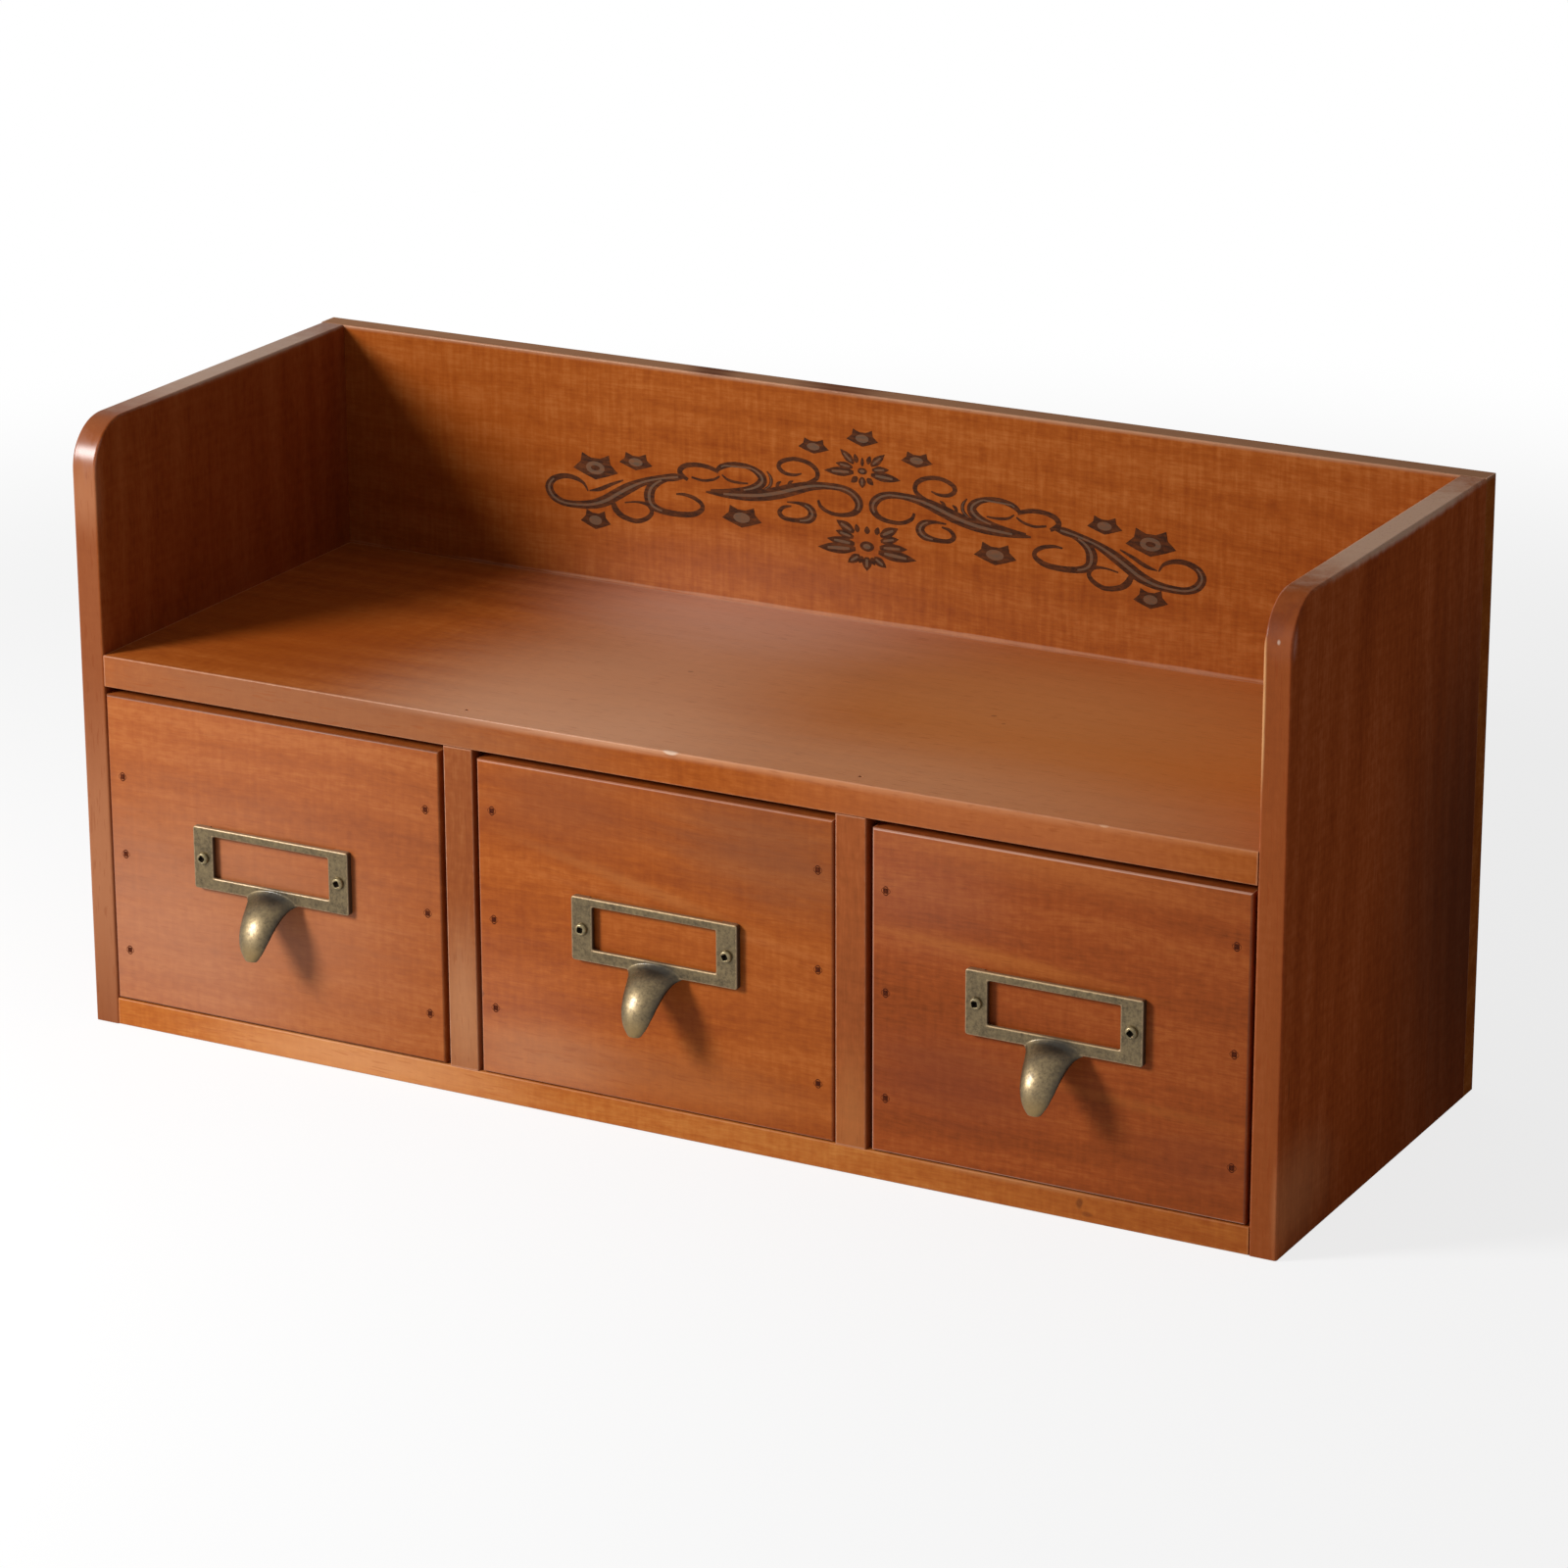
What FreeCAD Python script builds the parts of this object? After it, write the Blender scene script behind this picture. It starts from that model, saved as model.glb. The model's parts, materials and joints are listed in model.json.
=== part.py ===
import FreeCAD, Part
import os
import re
import Sketcher
from FreeCAD import Vector

# Desktop drawer organizer: an open shelf over three drawers. Millimetres.
# Frame: origin at the centre of the case's base, X to the right seen from the front,
# Y to the back, Z up. Every drawer is modelled about X = 0 and placed in its bay.

os.makedirs("parts", exist_ok=True)
doc = FreeCAD.newDocument("DrawerOrganizer")
sheet = doc.addObject("Spreadsheet::Sheet", "Sizes")

sizes = {
    # case
    "case_width": 420.0,
    "case_depth": 154.0,
    "case_height": 202.0,
    "side_thick": 9.0,
    "back_thick": 8.0,
    "bottom_thick": 9.0,
    "shelf_thick": 10.5,
    "divider_thick": 10.5,
    "shelf_top": 126.0,
    "corner_radius": 16.0,
    "side_ease": 0.9,
    "board_ease": 0.5,
    # running gaps of the drawers
    "front_gap_below": 0.4,
    "front_gap_above": 2.5,
    "front_gap_sideways": 2.6,
    "drawer_gap_behind": 0.6,
    # drawer boards
    "front_thick": 9.0,
    "front_ease": 0.8,
    "wall_thick": 8.0,
    "wall_inset": 1.0,
    "wall_drop": 5.5,
    "ply_thick": 3.0,
    "ply_above_edge": 5.0,
    "groove_deep": 3.0,
    "groove_play": 0.15,
    # brads
    "brad_long": 20.0,
    "brad_thick": 1.25,
    "brad_wide": 0.9,
    "brad_head_wide": 1.3,
    "brad_head_long": 0.9,
    "brad_set": 0.6,
    "brad_from_edge": 17.5,
    "shelf_brad_back": 6.5,
    # dowels
    "dowel_radius": 2.5,
    "dowel_play": 0.15,
    "dowel_in_side": 6.0,
    "dowel_in_board": 12.0,
    "dowel_from_edge": 30.0,
    # label pull
    "window_wide": 43.5,
    "window_tall": 14.0,
    "side_bar": 7.5,
    "top_bar": 2.8,
    "bottom_bar": 4.2,
    "plate_thick": 2.2,
    "plate_above_middle": 3.0,
    "plate_corner": 0.9,
    "plate_ease": 0.4,
    "card_deep": 0.8,
    "card_margin": 1.6,
    "tab_reach": 15.9,
    "tab_drop": 16.0,
    "tab_crown_above": 2.4,
    "tab_rim_reach": 14.6,
    "tab_wall": 1.5,
    # pull screws
    "screw_head_radius": 2.1,
    "screw_head_tall": 1.3,
    "screw_radius": 1.1,
    "screw_long": 8.0,
    "screw_play": 0.15,
    "recess_radius": 0.9,
    "recess_deep": 0.9,
}

# sideways places as found on the photographed piece
drawer_shift = {"left": -0.75, "middle": 0.45, "right": 0.35}
pull_shift = {"left": -0.05, "middle": 1.25, "right": -0.25}
# how much wider than the usual width each front was cut
front_extra = {"left": 0.5, "middle": 0.4, "right": -0.7}

# how far above its even place each hand-driven front brad went in, low to high
brad_scatter = {
    "left": {"left": (-0.2, -1.5, -9.5), "right": (-1.6, -2.3, -2.2)},
    "middle": {"left": (4.7, -0.2, 1.3), "right": (0.6, 3.3, 1.0)},
    "right": {"left": (0.2, -0.1, -1.8), "right": (-0.2, 1.2, 0.4)},
}
brad_rows = {
    "low": "brad_from_edge",
    "mid": "front_tall / 2",
    "high": "front_tall - brad_from_edge",
}

# half widths of the finger tab's sections, from the plate to the tip
tab_half_widths = (10.0, 7.4, 6.5, 6.0, 5.3, 4.1, 2.0)

for drawer in brad_scatter:
    sizes[drawer + "_drawer_shift"] = drawer_shift[drawer]
    sizes[drawer + "_pull_shift"] = pull_shift[drawer]
    sizes[drawer + "_front_extra"] = front_extra[drawer]
    for side, offsets in brad_scatter[drawer].items():
        for row, offset in zip(brad_rows, offsets):
            sizes["_".join((drawer, "brad", side, row))] = offset
for number_of, half_width in enumerate(tab_half_widths):
    sizes["tab_half_width_%d" % number_of] = half_width

# lengths that follow from the sizes
derived = {
    "inner_width": "(case_width - 2 * side_thick)",
    "inner_depth": "(case_depth - back_thick)",
    "front_face": "(-case_depth / 2)",
    "rear_face": "(case_depth / 2)",
    "shelf_under": "(shelf_top - shelf_thick)",
    "bay_tall": "(shelf_under - bottom_thick)",
    "bay_width": "((inner_width - 2 * divider_thick) / 3)",
    "bay_pitch": "(bay_width + divider_thick)",
    "divider_middle": "(bay_pitch / 2)",
    "front_wide": "(bay_width - front_gap_sideways)",
    "front_low": "(bottom_thick + front_gap_below)",
    "front_tall": "(bay_tall - front_gap_below - front_gap_above)",
    "box_wide": "(front_wide - 2 * wall_inset)",
    "wall_front": "(front_face + front_thick)",
    "wall_long": "(inner_depth - front_thick - drawer_gap_behind)",
    "wall_rear": "(wall_front + wall_long)",
    "wall_tall": "(front_tall - wall_drop)",
    "wall_inner": "(box_wide / 2 - wall_thick)",
    "groove_low": "(front_low + ply_above_edge)",
    "groove_tall": "(ply_thick + groove_play)",
    "drawer_back_low": "(groove_low + groove_tall)",
    "plate_wide": "(window_wide + 2 * side_bar)",
    "plate_tall": "(window_tall + top_bar + bottom_bar)",
    "plate_middle": "(front_low + front_tall / 2 + plate_above_middle)",
    "plate_low": "(plate_middle - plate_tall / 2)",
    "plate_face": "(front_face - plate_thick)",
    "window_low": "(plate_low + bottom_bar)",
    "screw_out": "((window_wide + side_bar) / 2)",
    "brad_shank_long": "(brad_long - brad_head_long)",
    "dowel_long": "(dowel_in_side + dowel_in_board)",
}

letters = re.compile(r"[a-z_][a-z_0-9]*")


def full(text):
    # writes a length out in the sheet's own cells
    def swap(match):
        word = match.group(0)
        if word in derived:
            return full(derived[word])
        return "Sizes." + word if word in sizes else word
    return letters.sub(swap, text)


def number(text):
    return float(sheet.evalExpression(full(text)))


def fill_sheet():
    for row, (name, size) in enumerate(sizes.items(), 1):
        sheet.set("A%d" % row, name)
        sheet.set("B%d" % row, str(size))
        sheet.setAlias("B%d" % row, name)
    doc.recompute()


def new_body(name, place_x=None):
    body = doc.addObject("PartDesign::Body", name)
    body.Label = name
    body.AllowCompound = True
    if place_x:
        body.setExpression("Placement.Base.x", full(place_x))
    return body


def new_sketch(body, name, plane, along, tilt=None, across="0", up="0"):
    # XY faces +Z, XZ faces -Y, YZ faces +X; along is the sketch's place on that normal
    sketch = body.newObject("Sketcher::SketchObject", body.Name + "_" + name)
    support = next(f for f in body.Origin.OriginFeatures if f.Role == plane + "_Plane")
    sketch.AttachmentSupport = (support, [""])
    sketch.MapMode = "FlatFace"
    sketch.setExpression("AttachmentOffset.Base.x", full(across))
    sketch.setExpression("AttachmentOffset.Base.y", full(up))
    sketch.setExpression("AttachmentOffset.Base.z", full(along))
    if tilt:
        sketch.AttachmentOffset = FreeCAD.Placement(
            sketch.AttachmentOffset.Base, FreeCAD.Rotation(Vector(1, 0, 0), number(tilt)))
        sketch.setExpression("AttachmentOffset.Rotation.Angle", full(tilt))
    return sketch


def hold(sketch, kind, points, text):
    index = sketch.addConstraint(Sketcher.Constraint(kind, *points, number(text)))
    sketch.setExpression("Constraints[%d]" % index, full(text))


def rectangle(sketch, left, low, wide, tall):
    x, y = number(left), number(low)
    corners = [Vector(x, y, 0), Vector(x + number(wide), y, 0),
               Vector(x + number(wide), y + number(tall), 0), Vector(x, y + number(tall), 0)]
    first = sketch.GeometryCount
    for start, end in zip(corners, corners[1:] + corners[:1]):
        sketch.addGeometry(Part.LineSegment(start, end), False)
    for step in range(4):
        end_meets_start = (first + step, 2, first + (step + 1) % 4, 1)
        sketch.addConstraint(Sketcher.Constraint("Coincident", *end_meets_start))
        sketch.addConstraint(Sketcher.Constraint("Vertical" if step % 2 else "Horizontal", first + step))
    hold(sketch, "DistanceX", (-1, 1, first, 1), left)
    hold(sketch, "DistanceY", (-1, 1, first, 1), low)
    hold(sketch, "DistanceX", (first, 1, first, 2), wide)
    hold(sketch, "DistanceY", (first + 1, 1, first + 1, 2), tall)


def circle(sketch, x, y, radius):
    index = sketch.addGeometry(
        Part.Circle(Vector(number(x), number(y), 0), Vector(0, 0, 1), number(radius)), False)
    hold(sketch, "DistanceX", (-1, 1, index, 3), x)
    hold(sketch, "DistanceY", (-1, 1, index, 3), y)
    hold(sketch, "Radius", (index,), radius)


def pad(body, sketch, length, outward=True):
    # outward goes with the sketch's normal
    feature = body.newObject("PartDesign::Pad", sketch.Name + "_pad")
    feature.Profile = sketch
    feature.setExpression("Length", full(length))
    feature.Reversed = not outward
    doc.recompute([feature])
    return feature


def pocket(body, sketch, length, outward=False):
    feature = body.newObject("PartDesign::Pocket", sketch.Name + "_pocket")
    feature.Profile = sketch
    feature.setExpression("Length", full(length))
    feature.Reversed = outward
    doc.recompute([feature])
    return feature


def edges_in_planes(shape, *planes):
    # names of the edges that lie wholly in one of the planes, such as ("y", -77.0)
    names = []
    for index, edge in enumerate(shape.Edges, 1):
        for axis, place in planes:
            if all(abs(getattr(vertex.Point, axis) - place) < 1e-4 for vertex in edge.Vertexes):
                names.append("Edge%d" % index)
                break
    return names


def fillet(body, name, edges, radius):
    base = body.Tip
    feature = body.newObject("PartDesign::Fillet", body.Name + "_" + name)
    feature.Base = (base, edges)
    feature.setExpression("Radius", full(radius))
    doc.recompute([feature])
    return feature


def both_planes(shape, first, second):
    # edges where two such planes meet
    return [name for name in edges_in_planes(shape, first) if name in edges_in_planes(shape, second)]


# A brad is a head and a thinner shank, both rectangular. Its long side lies along one sketch axis.
def brad_boxes(sketch, places, wide_across, head):
    long_side = "brad_head_wide" if head else "brad_wide"
    wide, tall = (long_side, "brad_thick") if wide_across else ("brad_thick", long_side)
    for x, y in places:
        rectangle(sketch, "%s - %s / 2" % (x, wide), "%s - %s / 2" % (y, tall), wide, tall)


def drive_brads(body, name, plane, surface, places, wide_across=False, inward=True):
    # surface is the board face's place on the plane's normal; inward is against that normal
    sign = "-" if inward else "+"
    top = "(%s %s brad_set)" % (surface, sign)
    heads = new_sketch(body, name + "_heads", plane, top)
    brad_boxes(heads, places, wide_across, head=True)
    pad(body, heads, "brad_head_long", outward=not inward)
    shanks = new_sketch(body, name + "_shanks", plane, top)
    brad_boxes(shanks, places, wide_across, head=False)
    pad(body, shanks, "brad_long", outward=not inward)


def brad_mouths(body, name, plane, surface, places, board, wide_across=False, inward=True):
    # holes for heads and shanks in the board that the brads are driven through
    heads = new_sketch(body, name + "_heads", plane, surface)
    brad_boxes(heads, places, wide_across, head=True)
    pocket(body, heads, "brad_set + brad_head_long", outward=not inward)
    shanks = new_sketch(body, name + "_shanks", plane, surface)
    brad_boxes(shanks, places, wide_across, head=False)
    pocket(body, shanks, board, outward=not inward)


def brad_ends(body, name, plane, surface, places, passed, wide_across=False, inward=True):
    # blind holes in the board that the brads reach, past the board they come through
    shanks = new_sketch(body, name + "_holes", plane, surface)
    brad_boxes(shanks, places, wide_across, head=False)
    pocket(body, shanks, "brad_set + brad_long - %s" % passed, outward=not inward)


def dowel_places(level):
    return [("front_face + dowel_from_edge", level), ("rear_face - back_thick - dowel_from_edge", level)]


shelf_level = "(shelf_top - shelf_thick / 2)"
bottom_level = "(bottom_thick / 2)"
back_columns = ["(inner_width * %g)" % share for share in (-0.375, -0.125, 0.125, 0.375)]
side_column = "(case_width / 2 - side_thick / 2)"
side_rows = ["(case_height * %g)" % share for share in (0.14, 0.38, 0.74, 0.93)]
divider_row = "(bottom_thick + bay_tall / 2)"
back_places = {
    "left_side": [("-" + side_column, row) for row in side_rows],
    "right_side": [(side_column, row) for row in side_rows],
    "shelf": [(column, shelf_level) for column in back_columns],
    "bottom": [(column, bottom_level) for column in back_columns],
    "left_divider": [("-divider_middle", divider_row)],
    "right_divider": [("divider_middle", divider_row)],
}
shelf_brads = [(sign + "divider_middle", "front_face + shelf_brad_back") for sign in ("-", "")]
bottom_brads = [(sign + "divider_middle", "front_face + inner_depth * %g" % share)
                for sign in ("-", "") for share in (0.25, 0.8)]


def is_low_or_rear(shape, edge_name):
    box = shape.Edges[int(edge_name[4:]) - 1].BoundBox
    return box.ZMax < 1e-4 or box.YMin > number("front_face + inner_depth") - 1e-4


def side_panel(name, hand):
    # hand is -1 for the left panel and 1 for the right one
    body = new_body(name)
    left = "-case_width / 2" if hand < 0 else "case_width / 2 - side_thick"
    inner = "-inner_width / 2" if hand < 0 else "inner_width / 2"
    outline = new_sketch(body, "outline", "YZ", left)
    rectangle(outline, "front_face", "0", "inner_depth", "case_height")
    board = pad(body, outline, "side_thick")
    front, top = ("y", number("front_face")), ("z", number("case_height"))
    board = fillet(body, "corner", both_planes(board.Shape, front, top), "corner_radius")
    faces = [("x", number(left)), ("x", number(left + " + side_thick"))]
    worn = [edge for edge in edges_in_planes(board.Shape, *faces) if not is_low_or_rear(board.Shape, edge)]
    fillet(body, "ease", worn, "side_ease")
    holes = new_sketch(body, "dowel_holes", "YZ", inner)
    for level in (shelf_level, bottom_level):
        for y, z in dowel_places(level):
            circle(holes, y, z, "dowel_radius + dowel_play")
    pocket(body, holes, "dowel_in_side + dowel_play", outward=hand > 0)
    brad_ends(body, "back_brads", "XZ", "back_thick - rear_face",
              back_places["left_side" if hand < 0 else "right_side"], "back_thick", inward=False)


def back_panel():
    body = new_body("back_panel")
    outline = new_sketch(body, "outline", "XZ", "back_thick - rear_face")
    rectangle(outline, "-case_width / 2", "0", "case_width", "case_height")
    board = pad(body, outline, "back_thick", outward=False)
    rear, top = ("y", number("rear_face")), ("z", number("case_height"))
    edges = both_planes(board.Shape, rear, top) + both_planes(
        board.Shape, ("y", number("rear_face - back_thick")), top)
    for end in ("-case_width / 2", "case_width / 2"):
        edges += both_planes(board.Shape, ("x", number(end)), rear)
    fillet(body, "ease", edges, "board_ease")
    places = [place for group in back_places.values() for place in group]
    brad_mouths(body, "brads", "XZ", "-rear_face", places, "back_thick", inward=False)


def level_board(name, low, thick, level, eased):
    # a board between the side panels: the shelf or the bottom
    body = new_body(name)
    outline = new_sketch(body, "outline", "XY", low)
    rectangle(outline, "-inner_width / 2", "front_face", "inner_width", "inner_depth")
    board = pad(body, outline, thick)
    front = ("y", number("front_face"))
    edges = []
    for edge_level in eased:
        edges += both_planes(board.Shape, front, ("z", number(edge_level)))
    fillet(body, "ease", edges, "board_ease")
    for end, hand in (("-inner_width / 2", -1), ("inner_width / 2", 1)):
        holes = new_sketch(body, "dowel_holes_" + ("left" if hand < 0 else "right"), "YZ", end)
        for y, z in dowel_places(level):
            circle(holes, y, z, "dowel_radius + dowel_play")
        pocket(body, holes, "dowel_in_board + dowel_play", outward=hand < 0)
    return body


def shelf():
    body = level_board("shelf_board", "shelf_under", "shelf_thick", shelf_level,
                       ("shelf_top", "shelf_under"))
    brad_ends(body, "back_brads", "XZ", "back_thick - rear_face", back_places["shelf"], "back_thick",
              inward=False)
    brad_mouths(body, "top_brads", "XY", "shelf_top", shelf_brads, "shelf_thick", wide_across=True)


def bottom():
    body = level_board("bottom_board", "0", "bottom_thick", bottom_level, ("bottom_thick", "0"))
    brad_ends(body, "back_brads", "XZ", "back_thick - rear_face", back_places["bottom"], "back_thick",
              inward=False)
    brad_mouths(body, "under_brads", "XY", "0", bottom_brads, "bottom_thick", inward=False)


def divider(name, hand):
    body = new_body(name)
    middle = "-divider_middle" if hand < 0 else "divider_middle"
    outline = new_sketch(body, "outline", "XY", "bottom_thick")
    rectangle(outline, middle + " - divider_thick / 2", "front_face", "divider_thick", "inner_depth")
    board = pad(body, outline, "bay_tall")
    front = ("y", number("front_face"))
    edges = []
    for half in ("-", "+"):
        face = ("x", number("%s %s divider_thick / 2" % (middle, half)))
        edges += both_planes(board.Shape, front, face)
    fillet(body, "ease", edges, "board_ease")
    brad_ends(body, "back_brads", "XZ", "back_thick - rear_face",
              back_places["left_divider" if hand < 0 else "right_divider"], "back_thick", inward=False)
    above = [place for place in shelf_brads if place[0] == middle]
    brad_ends(body, "top_brads", "XY", "shelf_under", above, "shelf_thick", wide_across=True)
    below = [place for place in bottom_brads if place[0] == middle]
    brad_ends(body, "under_brads", "XY", "bottom_thick", below, "bottom_thick", inward=False)


def case_fasteners():
    body = new_body("back_panel_brads")
    places = [place for group in back_places.values() for place in group]
    drive_brads(body, "brads", "XZ", "-rear_face", places, inward=False)
    body = new_body("shelf_brads")
    drive_brads(body, "brads", "XY", "shelf_top", shelf_brads, wide_across=True)
    body = new_body("bottom_board_brads")
    drive_brads(body, "brads", "XY", "0", bottom_brads, inward=False)
    for name, level in (("shelf_dowels", shelf_level), ("bottom_board_dowels", bottom_level)):
        body = new_body(name)
        for end, hand in (("left", -1), ("right", 1)):
            start = "-inner_width / 2 - dowel_in_side" if hand < 0 else "inner_width / 2 - dowel_in_board"
            circles = new_sketch(body, end, "YZ", start)
            for y, z in dowel_places(level):
                circle(circles, y, z, "dowel_radius")
            pad(body, circles, "dowel_long")


def front_brads(drawer):
    # the front's brads stand over the middle of the drawer's side walls
    places = []
    for side, sign in (("left", "-"), ("right", "")):
        for row, height in brad_rows.items():
            offset = "_".join((drawer, "brad", side, row))
            places.append((sign + "(wall_inner + wall_thick / 2)", "front_low + %s + %s" % (height, offset)))
    return places


wall_brads = [("wall_rear - wall_thick / 2", "front_low + wall_tall * %g" % share) for share in (0.3, 0.8)]
ply_brads = [("box_wide * %g" % share, "wall_rear - wall_thick / 2") for share in (-0.25, 0.25)]
screw_places = [(sign + "screw_out", "plate_middle") for sign in ("-", "")]


def drawer_front(drawer, place_x):
    body = new_body(drawer + "_drawer_front", place_x)
    outline = new_sketch(body, "outline", "XZ", "-front_face")
    wide = "(front_wide + %s_front_extra)" % drawer
    rectangle(outline, "-%s / 2" % wide, "front_low", wide, "front_tall")
    board = pad(body, outline, "front_thick", outward=False)
    edges = edges_in_planes(board.Shape, ("y", number("front_face")))
    fillet(body, "ease", edges, "front_ease")
    groove = new_sketch(body, "groove", "XZ", "-wall_front")
    rectangle(groove, "-wall_inner", "groove_low", "2 * wall_inner", "groove_tall")
    pocket(body, groove, "groove_deep", outward=True)
    brad_mouths(body, "brads", "XZ", "-front_face", front_brads(drawer), "front_thick")
    pilots = new_sketch(body, "pilots", "XZ", "-front_face")
    for x, z in screw_places:
        circle(pilots, "%s + %s_pull_shift" % (x, drawer), z, "screw_radius + screw_play")
    pocket(body, pilots, "screw_long - plate_thick + screw_play")


def drawer_wall(drawer, side, place_x):
    body = new_body("%s_drawer_%s_side" % (drawer, side), place_x)
    hand = -1 if side == "left" else 1
    left = "-box_wide / 2" if hand < 0 else "wall_inner"
    inner = "-wall_inner" if hand < 0 else "wall_inner"
    outer = "-box_wide / 2" if hand < 0 else "box_wide / 2"
    outline = new_sketch(body, "outline", "YZ", left)
    rectangle(outline, "wall_front", "front_low", "wall_long", "wall_tall")
    board = pad(body, outline, "wall_thick")
    top = ("z", number("front_low + wall_tall"))
    edges = both_planes(board.Shape, top, ("x", number(inner)))
    edges += both_planes(board.Shape, top, ("x", number(outer)))
    fillet(body, "ease", edges, "board_ease")
    groove = new_sketch(body, "groove", "YZ", inner)
    rectangle(groove, "wall_front", "groove_low", "wall_long", "groove_tall")
    pocket(body, groove, "groove_deep", outward=hand > 0)
    reached = [place for place in front_brads(drawer) if place[0].startswith("-") == (hand < 0)]
    brad_ends(body, "front_brads", "XZ", "-wall_front", reached, "front_thick")
    brad_mouths(body, "back_brads", "YZ", outer, wall_brads, "wall_thick", inward=hand > 0)


def drawer_back(drawer, place_x):
    body = new_body(drawer + "_drawer_back", place_x)
    outline = new_sketch(body, "outline", "XZ", "-wall_rear")
    rectangle(outline, "-wall_inner", "drawer_back_low", "2 * wall_inner",
              "front_low + wall_tall - drawer_back_low")
    board = pad(body, outline, "wall_thick")
    top = ("z", number("front_low + wall_tall"))
    edges = both_planes(board.Shape, top, ("y", number("wall_rear")))
    edges += both_planes(board.Shape, top, ("y", number("wall_rear - wall_thick")))
    fillet(body, "ease", edges, "board_ease")
    brad_ends(body, "left_brads", "YZ", "-wall_inner", wall_brads, "wall_thick", inward=False)
    brad_ends(body, "right_brads", "YZ", "wall_inner", wall_brads, "wall_thick")
    brad_ends(body, "under_brads", "XY", "drawer_back_low", ply_brads, "groove_tall", wide_across=True,
              inward=False)


def drawer_ply(drawer, place_x):
    body = new_body(drawer + "_drawer_bottom", place_x)
    side_reach = "(groove_deep - groove_play)"
    outline = new_sketch(body, "outline", "XY", "groove_low")
    rectangle(outline, "-wall_inner - " + side_reach, "wall_front", "2 * (wall_inner + %s)" % side_reach,
              "wall_long")
    pad(body, outline, "ply_thick")
    tongue = new_sketch(body, "tongue", "XY", "groove_low")
    rectangle(tongue, "-wall_inner + groove_play", "wall_front - " + side_reach,
              "2 * (wall_inner - groove_play)", side_reach)
    pad(body, tongue, "ply_thick")
    brad_mouths(body, "under_brads", "XY", "groove_low", ply_brads, "ply_thick", wide_across=True,
                inward=False)


def drawer_fasteners(drawer, place_x):
    body = new_body(drawer + "_drawer_front_brads", place_x)
    drive_brads(body, "brads", "XZ", "-front_face", front_brads(drawer))
    body = new_body(drawer + "_drawer_back_brads", place_x)
    drive_brads(body, "left", "YZ", "-box_wide / 2", wall_brads, inward=False)
    drive_brads(body, "right", "YZ", "box_wide / 2", wall_brads)
    drive_brads(body, "under", "XY", "groove_low", ply_brads, wide_across=True, inward=False)


# The finger tab's crown and rim are two curves in the YZ plane, given by reach in front of the
# board and by height; turn runs from 0 at the plate to 90 degrees at the tip.
tab_turns = (0, 15, 30, 45, 60, 75, 90)


def tab_curve(turn):
    crown_reach = "(tab_reach * sin(%d deg))" % turn
    crown_up = "(tab_crown_above - (tab_drop + tab_crown_above) * (1 - cos(%d deg)))" % turn
    rim_reach = "(tab_rim_reach * sin(%d deg))" % turn
    rim_up = "(-tab_drop * (1 - cos(%d deg)) ^ 0.75)" % turn
    return crown_reach, crown_up, rim_reach, rim_up


def tab_section(body, name, step, inset):
    crown_reach, crown_up, rim_reach, rim_up = tab_curve(tab_turns[step])
    forward = "(%s - %s)" % (crown_reach, rim_reach)
    rise = "(%s - %s)" % (crown_up, rim_up)
    tilt = "atan2(%s; %s)" % (forward, rise)
    sketch = new_sketch(body, "%s_%d" % (name, step), "XZ", "(-front_face + %s)" % rim_reach,
                        tilt=tilt, up="(plate_low + %s)" % rim_up)
    half = "(tab_half_width_%d - %s)" % (step, inset)
    high = "(sqrt(%s ^ 2 + %s ^ 2) - %s)" % (forward, rise, inset)
    draw_arch(sketch, half, high)
    return sketch


def draw_arch(sketch, half, high):
    # an arc over a straight chord that is centred on the sketch's origin
    w, c = number(half), number(high)
    sketch.addGeometry(Part.LineSegment(Vector(-w, 0, 0), Vector(w, 0, 0)), False)
    sketch.addGeometry(Part.Arc(Vector(w, 0, 0), Vector(0, c, 0), Vector(-w, 0, 0)), False)
    sketch.addConstraint(Sketcher.Constraint("Coincident", 0, 2, 1, 1))
    sketch.addConstraint(Sketcher.Constraint("Coincident", 1, 2, 0, 1))
    sketch.addConstraint(Sketcher.Constraint("Horizontal", 0))
    hold(sketch, "DistanceX", (-1, 1, 0, 1), "-" + half)
    hold(sketch, "DistanceY", (-1, 1, 0, 1), "0")
    hold(sketch, "DistanceX", (0, 1, 0, 2), "2 * " + half)
    hold(sketch, "Radius", (1,), "((%s ^ 2 + %s ^ 2) / (2 * %s))" % (half, high, high))


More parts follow.
